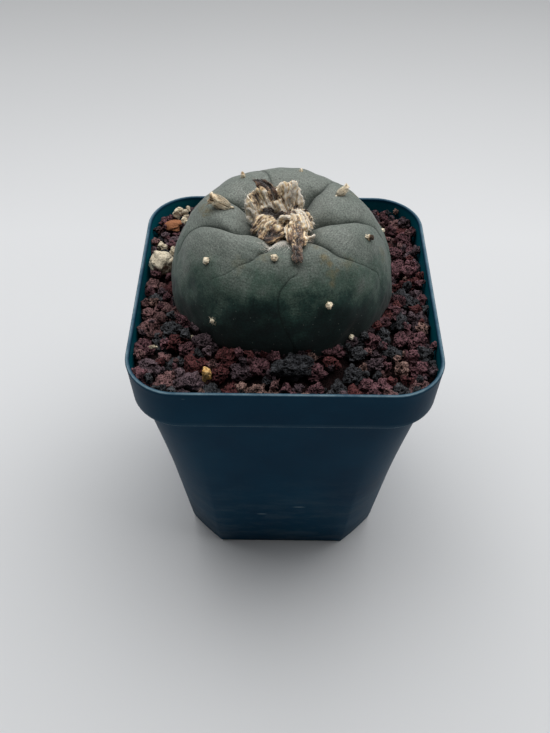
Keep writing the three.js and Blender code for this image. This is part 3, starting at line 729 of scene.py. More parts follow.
def joined(bodies):
    """Several bodies of points and triangles as one."""
    starts = np.cumsum([0] + [len(points) for points, _ in bodies[:-1]])
    return (
        np.concatenate([points for points, _ in bodies]),
        np.concatenate([faces + start for (_, faces), start in zip(bodies, starts)]),
    )


def unit(vectors):
    """Vectors of an array, each made one long."""
    return vectors / np.linalg.norm(vectors, axis=-1, keepdims=True)


def ball_mesh(steps):
    """A unit ball of 20 times steps squared near-equal triangles."""
    start = bmesh.new()
    bmesh.ops.create_icosphere(start, subdivisions=1, radius=1.0)
    triangles = [[np.array(corner.co) for corner in face.verts] for face in start.faces]
    start.free()
    points, faces = [], []
    for a, b, c in triangles:
        index = {}
        for i in range(steps + 1):
            for j in range(steps + 1 - i):
                index[i, j] = len(points)
                points.append((a * (steps - i - j) + b * i + c * j) / steps)
        for i in range(steps):
            for j in range(steps - i):
                faces.append((index[i, j], index[i + 1, j], index[i, j + 1]))
                if i + j < steps - 1:
                    faces.append((index[i + 1, j], index[i + 1, j + 1], index[i, j + 1]))
    points, merged = np.unique(np.round(points, 6), axis=0, return_inverse=True)
    return unit(points), merged.reshape(-1)[np.array(faces)]


def tuft_mesh(tuft, seed):
    """A tuft as a woolly core with hairs over it, and how brown and how pale each point is."""
    along, azimuth, width, length, lean, dark_tip = tuft
    long_tuft = length > LONG_TUFT
    draw = np.random.default_rng(seed)
    foot = on_skin(along, azimuth)
    out = unit(on_skin(along, azimuth, 1) - foot)
    uphill = unit(foot - on_skin(along + 1, azimuth))
    way = out * math.cos(lean) + uphill * math.sin(lean)
    aside = unit(np.cross(way, [0.3, 0.2, 1.0]))
    beyond = np.cross(way, aside)
    ball, faces = ball_mesh(8)
    size = np.array([width * 0.46, width * 0.46, (length + 0.5) * 0.5])
    lumpy = ball * size * (1 + 0.15 * ripple(ball, 0.7, seed))[:, None]
    lumpy = lumpy * (1 + 0.16 * ripple(lumpy, 1.2, seed + 50) + 0.08 * ripple(lumpy, 0.5, seed + 51))[:, None]
    if long_tuft:
        level = lumpy[:, 2:] / size[2]
        waist = 0.6 + 0.5 * smoothstep(-0.4, 0.6, level)
        lumpy[:, :2] *= waist / (1.05 - np.minimum(level ** 2, 1)) ** 0.25
    middle = foot + way * (length * 0.5 - 0.25)
    core = middle + lumpy[:, :1] * aside + lumpy[:, 1:2] * beyond + lumpy[:, 2:] * way
    share = (lumpy[:, 2] / size[2] + 1) / 2
    count = 3 * TUFT_HAIRS if long_tuft else TUFT_HAIRS
    spot = np.sqrt(draw.uniform(0, 1, count))[:, None] * width * 0.45
    turn = draw.uniform(0, 2 * math.pi, count)[:, None]
    sideways = np.cos(turn) * aside + np.sin(turn) * beyond
    root = foot + spot * sideways - out * 0.2
    steps = np.linspace(0, 1, HAIR_STEPS)[None, :, None]
    reach = length * draw.uniform(0.6, 1.08, (count, 1, 1))
    spread = sideways[:, None] * spot[:, None]
    bulge = np.sin(math.pi * steps * 0.85) * (0.75 if long_tuft else 0.35)
    curl = draw.normal(0, 0.12, (count, 1, 3)) * steps ** 2 * math.sqrt(length)
    paths = root[:, None] + way * steps * reach + spread * bulge - spread * 0.5 * steps ** 3 + curl
    hairs = tube_bundle(paths, np.linspace(*HAIR_RADII, HAIR_STEPS)[None] * np.ones((count, 1)))
    brown = np.concatenate([share, np.repeat(np.tile(steps[0, :, 0], count), HAIR_SIDES)])
    brown = dark_tip * smoothstep(0.35, 0.9, brown)
    each_hair = HAIR_STEPS * HAIR_SIDES
    if long_tuft:
        brown[:len(core)] += 4.5 * dark_tip * smoothstep(0.5, 1.3, ripple(lumpy, 1.1, seed + 52))
    brown[len(core):] += np.repeat(0.7 * (draw.uniform(0, 1, count) < 0.12), each_hair)
    shade = np.concatenate([np.full(len(core), 0.9), np.repeat(draw.uniform(0.3, 1, count), each_hair)])
    return joined([(core, faces), hairs]), brown, shade


def skin_fibres(starts, stops, draw):
    """Fine fibres that lie on the skin between places along and round it."""
    shares = np.linspace(0, 1, HAIR_STEPS)
    paths = []
    for start, stop in zip(starts, stops):
        bend = draw.normal(0, 0.5, 2)
        way = start + (stop - start) * shares[:, None] + bend * np.sin(math.pi * shares)[:, None]
        lifts = draw.uniform(0.05, 0.3) + 0.35 * draw.uniform(0, 1) * shares
        paths.append([on_skin(along, azimuth, lift) for (along, azimuth), lift in zip(way, lifts)])
    thin = draw.uniform(0.02, 0.048, (len(paths), 1)) * (1 - 0.6 * shares)
    bodies = tube_bundle(np.array(paths), thin)
    return bodies, np.zeros(len(bodies[0])), np.full(len(bodies[0]), 0.9)


def wool_finish(name, pale, tan, brown):
    """Dry wool: cream fibres that turn tan and brown with age, with a dull sheen."""
    look = Look(bpy.data.materials.new(name), Roughness=0.85, Specular_IOR_Level=0.2, Sheen_Weight=0.25)
    place = look.place()
    age = look.math("ADD", look.noise(place, 700.0, 5.0), look.field("brown"))
    aged = look.ramp(age, (0.5, pale), (0.85, tan), (1.0, brown))
    shade = look.ramp(look.field("shade"), (0.0, 0.62), (1.0, 1.0))
    look.shade(Base_Color=look.product(aged, shade))
    look.bump(look.noise(place, 3000.0), 0.5, 0.0001)
    return look.data


tufts = [tuft_mesh(tuft, 700 + i) for i, tuft in enumerate(TUFTS)]
star = np.random.default_rng(31)
star_turn = star.uniform(0, 2 * math.pi, STAR_HAIRS)
star_reach = star.uniform(0.5, 1.6, STAR_HAIRS)
star_way = np.stack([np.cos(star_turn), DEGREES_PER_MM * np.sin(star_turn)], 1)
star_ends = STAR_PLACE + star_reach[:, None] * star_way
tufts.append(skin_fibres(np.tile(STAR_PLACE, (STAR_HAIRS, 1)), star_ends, star))
tuft_wool = wool_finish("cream_tuft_wool", (1.0, 0.89, 0.68), (0.66, 0.46, 0.26), (0.075, 0.045, 0.028))
woolly_tufts = add_mesh(
    "woolly_tufts", *joined([body for body, _, _ in tufts]), tuft_wool,
    brown=np.concatenate([brown for _, brown, _ in tufts]),
    shade=np.concatenate([shade for _, _, shade in tufts]),
)
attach(woolly_tufts, "root")
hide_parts("cactus_body")

# The crown carries old wool and the dried remains of flowers: cords of matted
# fibre, grown together in locks and frayed at their tips. Cream ones stand up,
# brown ones lean back, and a long grey-brown one lies over the ribs in front.
LOCK_FACE = np.array([0.0, -0.68, 0.73])
CORD_STEPS = 16
WOOL_VOXEL = 0.22
SMOOTH_ROUNDS = 5
CREVICE_ROUNDS = 14
CREVICE_DEPTH = 0.22
LOOSE_FIBRES = 2400
FIBRE_STEPS = 7
SKIN_FUZZ = 300
CORD_WANDER = 0.28
TIP_STRAY = 0.16
# How far apart cords are, and how drawn out along them, in the pattern of their fibres
CORD_APART = 3.7
FIBRE_STRETCH = 0.13
# Each lock's line from foot to tip, width at both ends, thickness, number of cords,
# their radius at both ends, how brown the lock is at both ends, and how rolled its edges are
LOCKS = [
    ([(-1.5, -1.5, 112), (-1.6, -1.8, 117), (-1.6, -1.8, 120.4)],
     (10, 9), 7, 11, (1.7, 1.5), (0.2, 0.4), 0),
    ([(-1, -1.5, 115), (-2.4, -1.8, 120.5), (-3.8, -0.5, 124.4)],
     (8, 7), 2.4, 15, (0.95, 0.8), (0, 0.15), 0),
    ([(0, -3, 115), (0.2, -3.8, 119.8), (-0.6, -3.6, 122.2)],
     (6, 5), 2, 11, (0.9, 0.65), (0.1, 0.5), 0),
    ([(-2, -0.5, 118), (-3.2, 0, 123.6), (-5.9, 1.4, 126.2), (-9.8, 2.8, 129.0)],
     (2.6, 1.6), 1.2, 5, (0.65, 0.42), (0.2, 0.75), 0),
    ([(-2, -0.5, 118), (-3.1, 0, 124), (-5.2, 1.6, 126.8), (-7.4, 2.9, 129.0)],
     (2.4, 1.6), 1.2, 5, (0.65, 0.42), (0.2, 0.7), 0),
    ([(-2, -0.5, 118), (-3, 0.2, 124), (-4.2, 1.4, 126.6), (-5.6, 2.3, 127.9)],
     (2.2, 1.4), 1, 4, (0.65, 0.4), (0.15, 0.65), 0),
    ([(0.4, -1, 115), (-0.4, -0.2, 122), (-1.5, 2.2, 128.3)],
     (5, 3.2), 1.6, 10, (0.9, 0.72), (0, 0.12), 1),
    ([(1.2, -1, 115), (1.2, 0, 122.5), (1.9, 2.4, 128.5)],
     (5, 3.4), 1.6, 10, (0.9, 0.72), (0, 0.12), 1),
    ([(0.8, -1, 115), (0.5, -0.2, 122.4), (0.3, 2.2, 127.2)],
     (4, 3.4), 1.4, 8, (0.9, 0.75), (0, 0.05), 0),
    ([(2, -1.2, 115), (2.9, 0.2, 122.2), (2.8, 1.3, 126.4)],
     (3, 2.0), 1.2, 5, (0.8, 0.6), (0, 0.15), 1),
    ([(-3, -2, 115), (-6.4, -1.6, 121.2), (-9.3, 0.7, 126.6)],
     (6.5, 5.2), 1.6, 14, (0.9, 0.72), (0, 0.24), 1),
    ([(-3, -2.4, 115), (-7.4, -2.4, 119.8), (-11.0, -1.5, 122.6)],
     (5.4, 4.4), 1.6, 11, (0.9, 0.7), (0, 0.14), 1),
    ([(-1.5, -3.5, 115), (-5.2, -4.8, 120.6), (-9.4, -6.9, 117.6)],
     (4.6, 3.2), 1.5, 9, (0.9, 0.65), (0, 0.5), 0.5),
    ([(-1, -4, 115), (-4.2, -6.0, 120.4), (-6.8, -9.4, 116.9)],
     (4.6, 3.8), 1.4, 10, (0.9, 0.62), (0, 0.6), 0.3),
    ([(-0.5, -4, 115), (-1.9, -6.8, 120.0), (-3.4, -9.6, 117.2)],
     (4, 3.6), 1.2, 8, (0.8, 0.6), (0, 0.75), 0.3),
    ([(-6.4, -9.6, 117.0), (-2.7, -9.9, 118.8), (0.6, -9.2, 119.7)],
     (1.6, 1.8), 0.9, 4, (0.6, 0.5), (0.55, 0.25), 0),
    ([(-1.9, -6.2, 118.6), (-1.4, -5.8, 121.4), (0.3, -6.0, 122.3), (1.6, -7.0, 121.4), (1.3, -8, 120.2)],
     (1.8, 1.4), 0.9, 5, (0.7, 0.62), (0.12, 0.42), 0),
    ([(2, -2.5, 115), (3.2, -2.6, 119.8), (4.0, -1.6, 122.4)],
     (4.4, 3.8), 2, 9, (0.9, 0.7), (0, 0.25), 0.5),
    ([(2, -3, 115), (4.2, -3.4, 119.8), (5.6, -2.8, 121.2)],
     (4.4, 3.8), 2, 9, (0.9, 0.7), (0, 0.3), 0.5),
    ([(2, -3, 115), (5, -3.8, 119.2), (7.3, -3.8, 119.5)],
     (4.4, 3.4), 1.8, 9, (0.9, 0.68), (0, 0.2), 1),
    ([(2, -3.5, 115), (4.4, -5.6, 119.4), (6.6, -6.6, 118.6)],
     (4.4, 3.4), 1.6, 8, (0.9, 0.68), (0.05, 0.3), 1),
    ([(2.2, -2.5, 117), (3.4, -4.2, 121.6), (4.4, -7.2, 122.2), (4.9, -10.2, 121.2)],
     (3.6, 2.6), 1.4, 8, (0.85, 0.6), (0, 0.2), 0.5),
    ([(1.4, -2.5, 117), (1.8, -4.0, 121.4), (1.9, -6.6, 122.2), (1.2, -8.8, 121.6)],
     (2.4, 1.8), 1.2, 5, (0.75, 0.55), (0, 0.3), 0.3),
    ([(1.6, -3.5, 116), (2.3, -6.2, 121.5), (2.6, -10, 121.2), (2.8, -14, 120.8), (2.9, -17.4, 120.3),
      (3.1, -20.9, 119.0)],
     (4.8, 1.7), 0.8, 16, (0.75, 0.5), (0.22, 0.62), 0),
    ([(1.2, -5, 120), (0.6, -9.5, 120.9), (0.9, -14.8, 120.4)],
     (2.2, 1.8), 0.9, 5, (0.65, 0.5), (0.1, 0.4), 0),
    ([(3.4, -5, 120.4), (4.6, -9.5, 121.0), (4.2, -15.6, 120.6)],
     (2.2, 1.8), 0.9, 5, (0.65, 0.5), (0.0, 0.35), 0),
    ([(3.4, -9, 120.2), (5, -11.6, 120.2), (6.3, -11.8, 120.4), (7.7, -10.8, 120.8)],
     (1.3, 1.1), 0.8, 4, (0.62, 0.55), (0.1, 0.2), 0.4),
    ([(-6.2, -2.8, 121.6), (-5.7, -3.2, 122.7)],
     (0.8, 1.0), 0.6, 3, (0.45, 0.4), (0.7, 0.8), 0),
    ([(-4.6, -3.0, 121.6), (-4.3, -3.4, 123.1)],
     (0.9, 1.1), 0.6, 3, (0.45, 0.4), (0.7, 0.85), 0),
    ([(-3.1, -3.4, 121.4), (-2.6, -3.8, 122.4)],
     (0.9, 1.1), 0.6, 3, (0.45, 0.4), (0.7, 0.85), 0),
    ([(-1.8, -3.4, 121.4), (-1.2, -3.8, 122.6)],
     (0.8, 1.0), 0.6, 3, (0.45, 0.4), (0.6, 0.75), 0),
    ([(5.0, -2.4, 121.0), (5.6, -2.0, 122.0)],
     (1.1, 0.9), 0.8, 2, (0.55, 0.45), (1.0, 1.1), 0),
]


def lock_cords(lock, seed):
    """A lock's cords: paths with their ways across, through and along the lock, and radii.
    Neighbours wander together, and each cord's tip bends its own way."""
    line, widths, thick, count, radii, _, rolled = lock
    draw = np.random.default_rng(seed)
    middle, along = spline_through(np.array(line, float), 12)
    paths, frames, sizes = [], [], []
    steps = np.linspace(0, 1, CORD_STEPS)
    folds, fold_start = draw.uniform(3, 5), draw.uniform(0, 2 * math.pi)
    for cord in range(count):
        side = 2 * (cord + draw.uniform(0.3, 0.7)) / count - 1
        wave = math.sin(folds * side + fold_start)
        shares = steps * (1 - 0.1 * side ** 2 + 0.05 * wave + draw.uniform(-0.02, 0.02))
        path = np.stack([np.interp(shares * along[-1], along, middle[:, axis]) for axis in range(3)], 1)
        way = unit(np.gradient(path, axis=0))
        across = unit(np.cross(way, LOCK_FACE))
        through = np.cross(across, way)
        width = widths[0] + (widths[1] - widths[0]) * shares
        fold = 0.3 * wave + draw.uniform(-0.12, 0.12)
        path = path + across * (side * (width / 2 - 0.3))[:, None] + through * fold * thick
        wander = np.stack([ripple(path, 3.4, 901 + axis) for axis in range(3)], 1)
        path = path + CORD_WANDER * wander * shares[:, None]
        path = path + draw.normal(0, TIP_STRAY, 3) * (steps ** 3)[:, None]
        lumpy = 1 + 0.1 * np.sin(steps * draw.uniform(6, 14) + draw.uniform(0, 6.3))
        closing = np.sqrt(1 - np.clip((steps - 0.88) / 0.13, 0, 1) ** 2)
        roll = 1 + rolled * (0.3 * smoothstep(0.5, 1, abs(side)) + 0.25 * smoothstep(0.6, 0.95, steps))
        sizes.append((radii[0] + (radii[1] - radii[0]) * shares) * lumpy * roll * (0.25 + 0.75 * closing))
        paths.append(path)
        frames.append(np.stack([across, through, way], 1))
    return np.array(paths), np.array(frames), np.array(sizes)


def remeshed(points, faces, voxel):
    """Bodies that overlap grown together as one skin of even triangles: its points,
    their normals and its faces."""
    cords = add_object("wool_cords", plain_mesh("wool_cords", points, faces))
    remesh = cords.modifiers.new("grown", "REMESH")
    remesh.mode = "VOXEL"
    remesh.voxel_size = voxel * MM
    grown = applied(cords)
    bpy.data.objects.remove(cords)
    skin = bmesh.new()
    skin.from_mesh(grown)
    for _ in range(SMOOTH_ROUNDS):
        bmesh.ops.smooth_vert(
            skin, verts=skin.verts, factor=0.5, use_axis_x=True, use_axis_y=True, use_axis_z=True,
        )
    bmesh.ops.triangulate(skin, faces=skin.faces)
    skin.to_mesh(grown)
    skin.free()
    points, normals = np.zeros((2, len(grown.vertices) * 3))
    faces = np.zeros(len(grown.polygons) * 3, int)
    grown.vertices.foreach_get("co", points)
    grown.vertex_normals.foreach_get("vector", normals)
    grown.polygons.foreach_get("vertices", faces)
    return points.reshape(-1, 3) / MM, normals.reshape(-1, 3), faces.reshape(-1, 3)


def softened(points, faces, rounds):
    """Places with every point moved to the middle of its neighbours, again and again."""
    starts = np.concatenate([faces, faces[:, ::-1]]).ravel()
    ends = np.concatenate([np.roll(faces, -1, 1), np.roll(faces[:, ::-1], -1, 1)]).ravel()
    total = np.bincount(starts, minlength=len(points))
    for _ in range(rounds):
        points = np.stack([
            np.bincount(starts, points[ends, axis], minlength=len(points)) / total for axis in range(3)
        ], 1)
    return points


def matted_finish():
    """Matted old wool: cream fibre in streaks along the cords, tan to dark with age, darkened
    by painted shade in its crevices and lightened by painted highlight on its fibre ridges.
    """
    look = Look(
        bpy.data.materials.new("matted_wool"),
        Roughness=0.85, Specular_IOR_Level=0.2, Sheen_Weight=0.5,
    )
    place = look.place()
    strand = look.node("Attribute", attribute_name="strand").outputs["Vector"]
    streak = look.noise(strand, 2.4, 6.0, 0.7)
    cloud = look.noise(place, 330.0, 5.0, 0.65)
    age = look.math("MULTIPLY_ADD", cloud, 0.9, look.field("brown"))
    mixed = look.math("MULTIPLY_ADD", streak, 0.55, age)
    aged = look.ramp(
        look.math("MULTIPLY", mixed, 0.5),
        (0.385, (1.0, 0.91, 0.77)), (0.45, (1.0, 0.76, 0.44)), (0.505, (0.55, 0.37, 0.21)),
        (0.56, (0.17, 0.095, 0.058)), (0.64, (0.030, 0.018, 0.015)),
    )
    # The shade field is painted shade and highlight.
    shade = look.ramp(look.field("shade"), (0.0, 0.35), (1.0, 1.0))
    streaks = look.ramp(streak, (0.38, 0.76), (0.54, 1.2))
    look.shade(Base_Color=look.product(look.product(aged, shade), streaks))
    look.bump(streak, 1.0, 0.0005)
    return look.data


cords = [lock_cords(lock, 900 + number) for number, lock in enumerate(LOCKS)]
paths, frames, sizes = (np.concatenate([cord[part] for cord in cords]) for part in range(3))
browns = np.repeat([lock[5] for lock in LOCKS], [lock[3] for lock in LOCKS], axis=0)
cord_shares = np.linspace(0, 1, CORD_STEPS)
cord_browns = browns[:, :1] + (browns[:, 1:] - browns[:, :1]) * cord_shares ** 1.7
cord_along = np.cumsum(np.linalg.norm(np.diff(paths, axis=1, prepend=paths[:, :1]), axis=2), axis=1)

points, normals, faces = remeshed(*tube_bundle(paths, sizes, 8), WOOL_VOXEL)
tree = KDTree(paths.shape[0] * CORD_STEPS)
for number, place in enumerate(paths.reshape(-1, 3)):
    tree.insert(place, number)
tree.balance()
nearest = np.array([tree.find(point)[1] for point in points])
off_cord = np.einsum("nij,nj->ni", frames.reshape(-1, 3, 3)[nearest], points - paths.reshape(-1, 3)[nearest])
apart = nearest // CORD_STEPS * CORD_APART
strand = off_cord + np.stack([apart, np.zeros(len(points)), cord_along.reshape(-1)[nearest]], 1)
strand[:, 2] *= FIBRE_STRETCH
fibrous = ripple(strand, 0.55, 61, 12)
cord_lumps = ripple(strand, 1.3, 63, 12)
points = points + normals * (0.10 * fibrous + 0.08 * cord_lumps)[:, None]
points = points + normals * (0.14 * ripple(points, 2.1, 64) + 0.25 * ripple(points, 4.0, 62))[:, None]
wool_high = np.array(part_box("crown_wool")[1]) / MM
points[:, 2] = np.minimum(points[:, 2], wool_high[2])
# Painted shade: the shade field is darker in the crevices and between the fibre ridges, lighter on them. The
# crevices are browner too, partly dirt and partly painted shade.
hollow = np.einsum("ni,ni->n", softened(points, faces, CREVICE_ROUNDS) - points, normals)
crevice = np.clip(hollow / CREVICE_DEPTH, -1, 1)
wool = add_mesh(
    "matted_crown_wool", points, faces, matted_finish(), strand=strand,
    brown=cord_browns.reshape(-1)[nearest] + 0.12 * crevice - 0.08 * fibrous,
    shade=np.clip(0.92 - 0.75 * crevice + 0.15 * fibrous, 0, 1),
)
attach(wool, "root")
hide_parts("crown_wool")


def loose_fibres():
    """Fine fibres that leave the cords and curl away, with how brown and shaded each is."""
    draw = np.random.default_rng(77)
    each = (LOOSE_FIBRES, 1)
    steps = np.linspace(0, 1, FIBRE_STEPS)
    cord = draw.integers(0, len(paths), each)
    start = draw.uniform(0.25, 0.8, each)
    stop = start + draw.uniform(0.12, 0.4, each)
    shares = start + (stop - start) * steps
    place = np.clip(shares, 0, 1) * (CORD_STEPS - 1)
    before = np.minimum(place.astype(int), CORD_STEPS - 2)
    part = (place - before)[..., None]
    path = paths[cord, before] * (1 - part) + paths[cord, before + 1] * part
    turn = draw.uniform(0, 2 * math.pi, each) + draw.normal(0, 0.6, each) * (shares - start)
    lift = sizes[cord, before] * (1.02 + 0.3 * draw.uniform(0, 1, each) * steps ** 2)
    across, through, way = np.moveaxis(frames[cord, before], 2, 0)
    path = path + (np.cos(turn) * lift)[..., None] * across + (np.sin(turn) * lift)[..., None] * through
    path = path + np.maximum(shares - 1, 0)[..., None] * 5 * way
    path = path + draw.normal(0, 0.4, (*each, 3)) * steps[:, None] ** 2
    thin = draw.uniform(0.035, 0.075, each) * (1 - 0.7 * steps)
    brown = cord_browns[cord, before] + draw.normal(-0.08, 0.15, each)
    shade = draw.uniform(0.5, 1, each) * np.ones(FIBRE_STEPS)
    browns, shades = (np.repeat(values.reshape(-1), HAIR_SIDES) for values in (brown, shade))
    return tube_bundle(path, thin), browns, shades


fuzz = np.random.default_rng(78)
fuzz_starts = np.stack([fuzz.uniform(9, 14.5, SKIN_FUZZ), fuzz.uniform(254, 284, SKIN_FUZZ)], 1)
fuzz_ends = fuzz_starts + np.stack([fuzz.uniform(2.0, 6.5, SKIN_FUZZ), fuzz.normal(-2, 8, SKIN_FUZZ)], 1)
bodies, browns, shades = zip(loose_fibres(), skin_fibres(fuzz_starts, fuzz_ends, fuzz))
points, faces = joined(bodies)
points[:, 2] = np.minimum(points[:, 2], wool_high[2])
fibres = add_mesh(
    "loose_wool_fibres", points, faces,
    wool_finish("loose_fibre", (1.0, 0.96, 0.88), (0.42, 0.29, 0.17), (0.06, 0.035, 0.022)),
    brown=np.concatenate(browns), shade=np.concatenate(shades),
)
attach(fibres, "root")
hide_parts("crown_wool")

# The grit is crushed lava in maroon, wine red, rust, purple, black and pinkish
# stones with a little pumice. It fills the pot over a bed of dark fines and is
# heaped against the plant in front, with the small stones in the big ones' gaps.
GRIT_LEVEL = 85.3
FRONT_RISE = 1.0
MOUND_RISE = 4.8
MOUND_REACH = 10.0
FIT_GAP = 0.3
ROOT_GAP = 0.4
BED_INNER_RADIUS = 28.5
BED_STEPS = 26
ROOT_START = 71
ROOT_STEPS = 12


def bed_height(x, y):
    """The height of the fines' top at a place, higher in front and by the plant there."""
    front = smoothstep(8, -22, y)
    away = np.hypot(x - PLANT_X, y - PLANT_Y) - EQUATOR_RADIUS
    return GRIT_LEVEL + FRONT_RISE * front + MOUND_RISE * front * (1 - smoothstep(0, MOUND_REACH, away))


def bed_mesh():
    """The dark fines under the stones, from the floor up, round the tap root."""
    inset = WALL + FIT_GAP
    floor = width_at(FLOOR_TOP) - 2 * inset
    corner = corner_at(FLOOR_TOP) - inset
    cut = cut_at(FLOOR_TOP)
    rings = []
    for share in (CENTRE_SHARE, 0.5, 1):
        rings.append(square_ring(floor * share, corner * share, FLOOR_TOP + FIT_GAP, cut))
    for z in (15, 30, 45, 60, SKIRT_Z - 0.6):
        rings.append(wall_ring(z, inset))
    rings.append(square_ring(SKIRT_FOOT_WIDTH - 2 * inset, RIM_CORNER - inset, SKIRT_Z + WALL))
    wall = square_ring(SKIRT_FOOT_WIDTH - 2 * inset + 0.4, RIM_CORNER - inset, 0)[:, :2]
    plant_middle = np.array([PLANT_X, PLANT_Y])
    angles = np.arctan2(wall[:, 1] - PLANT_Y, wall[:, 0] - PLANT_X)
    round_plant = np.stack([np.cos(angles), np.sin(angles)], 1)
    inner = plant_middle + BED_INNER_RADIUS * round_plant
    for share in np.linspace(0, 1, BED_STEPS):
        flat = wall * (1 - share) + inner * share
        rough = 0.35 * ripple(np.c_[flat, np.zeros(len(flat))], 2.4, 41) * (1 - share)
        rings.append(np.c_[flat, bed_height(flat[:, 0], flat[:, 1]) + rough])
    for along in np.linspace(ROOT_START, OUTLINE_LENGTH - 2, ROOT_STEPS):
        radius, height = along_outline(outline, np.array(along))
        rings.append(np.c_[plant_middle + (radius + ROOT_GAP) * round_plant, np.full(len(wall), height)])
    return loft(rings)


# Stones that the CAD model gives a node each: middle, size, turn and finish
STONES = {
    "black_lava_01": ((1.8, -34.3, 93.4), (12.8, 6.2, 7.0), 4, "black"),
    "black_lava_02": ((18.4, -34.4, 89.8), (7.0, 5.6, 5.6), 30, "black"),
    "black_lava_03": ((33.4, -12.6, 89.4), (6.2, 6.0, 5.6), 10, "black"),
    "black_lava_04": ((30.6, -25.0, 89.4), (6.4, 5.0, 4.8), -15, "black"),
    "black_lava_05": ((20.0, -28.2, 92.0), (5.6, 4.6, 5.0), 40, "black"),
    "purple_lava_01": ((-25.6, -37.2, 89.6), (7.4, 5.6, 5.6), 10, "purple"),
    "purple_lava_02": ((-38.2, -30.6, 88.6), (6.8, 6.2, 5.0), 0, "purple"),
    "purple_lava_03": ((-12.0, -34.2, 90.8), (6.0, 5.0, 5.0), 20, "purple"),
    "purple_lava_04": ((25.0, -30.2, 90.2), (5.0, 4.4, 4.6), 0, "purple"),
    "red_lava_01": ((-30.8, -22.2, 90.4), (6.2, 5.2, 5.2), 15, "wine"),
    "red_lava_02": ((-18.0, -35.0, 90.4), (5.0, 4.8, 6.4), 0, "wine"),
    "red_lava_03": ((26.2, -37.6, 89.0), (7.6, 4.6, 4.8), 12, "maroon"),
    "red_lava_04": ((24.6, -23.2, 92.2), (4.8, 4.4, 4.8), 35, "maroon"),
    "red_lava_05": ((13.4, -31.8, 92.2), (5.2, 4.0, 4.2), -20, "wine"),
    "red_lava_06": ((-36.6, -7.8, 88.8), (6.6, 5.6, 5.0), 25, "rust"),
    "red_lava_07": ((8.6, -39.6, 89.6), (5.8, 4.8, 5.4), 50, "maroon"),
    "pink_lava_01": ((-8.0, -39.4, 89.2), (6.6, 4.6, 4.8), 15, "pink"),
    "pink_lava_02": ((37.8, -19.4, 89.0), (7.0, 6.2, 5.4), 0, "maroon"),
    "pink_lava_03": ((32.4, -31.0, 89.4), (5.2, 4.6, 4.6), 60, "pink"),
    "pink_lava_04": ((38.6, 27.0, 88.6), (5.0, 6.0, 5.0), 0, "maroon"),
    "pumice_01": ((-39.0, 13.0, 90.0), (6.8, 8.6, 8.6), -10, "pumice"),
    "pumice_02": ((-35.6, 19.6, 88.8), (3.2, 3.6, 4.2), 20, "pumice"),
    "pumice_03": ((-39.6, 22.8, 88.2), (3.6, 3.4, 3.6), 0, "pumice"),
    "pumice_04": ((-35.0, 38.6, 90.2), (5.0, 3.4, 3.8), 15, "pumice"),
    "bark_chip": ((-37.0, 32.2, 89.8), (6.4, 5.0, 2.8), 20, "bark"),
    "yellow_chip": ((-21.4, -35.4, 91.3), (2.6, 3.0, 5.0), 0, "yellow"),
}
# Small stones that show by their colour: middle, size and finish
BRIGHT_BITS = [
    ((-32.8, 41.2, 89.6), (2.4, 1.8, 1.6), "pumice"), ((-33.0, 37.2, 89.8), (2.6, 1.9, 1.8), "pumice"),
    ((-37.2, -25.3, 91.4), (3.0, 1.2, 1.2), "pumice"), ((-26.5, -22.6, 92.6), (1.5, 1.3, 1.8), "pumice"),
    ((31.3, -29.7, 92.0), (2.8, 2.0, 1.8), "pink"), ((30.3, -15.9, 92.4), (1.8, 1.4, 1.4), "rust"),
    ((39.6, 27.4, 91.8), (2.2, 2.0, 1.6), "rust"), ((37.1, 40.2, 90.0), (2.4, 2.0, 1.6), "pink"),
]
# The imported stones: radius range, steps of their meshes, and tries
STONE_SIZES = [((3.7, 2.9), 12, 1800), ((2.9, 2.0), 10, 4200), ((1.9, 1.3), 6, 3600), ((1.2, 0.8), 4, 300)]
STONE_KEEP = 0.84
SIZES_TO_RADIUS = 6.4
UNDER_PLANT = 2.6
TOP_CROWDING = 0.35
CHIPS = 5
CHIP_FLATNESS = 0.85
BITES = 3
GRIT_BUBBLE = 1.05
STONE_CLEARANCE = 0.12
PLANT_CLEARANCE = 0.45
HEAP_RISE = 5.6
# The mix of finishes round each place in the pot
MIXED = ("maroon", "wine", "rust", "purple", "black", "pink")
MIXES = [
    ((-25, -35), (0.29, 0.21, 0.11, 0.22, 0.12, 0.05)), ((22, -33), (0.28, 0.06, 0.16, 0.13, 0.31, 0.06)),
    ((38, 2), (0.34, 0.14, 0.10, 0.27, 0.11, 0.04)), ((36, 32), (0.34, 0.16, 0.16, 0.24, 0.07, 0.03)),
    ((-38, -12), (0.20, 0.05, 0.40, 0.20, 0.11, 0.04)), ((-36, 28), (0.24, 0.05, 0.22, 0.28, 0.17, 0.04)),
    ((0, 42), (0.30, 0.12, 0.15, 0.25, 0.15, 0.03)),
]
CELL_MIX = np.array([[127.1, 269.5, 113.5], [311.7, 183.3, 271.9], [74.7, 246.1, 124.6]])
CELL_SPREAD = 43758.5
plant_side = outline[outline_along > 30][::-1]
stone_balls = {}


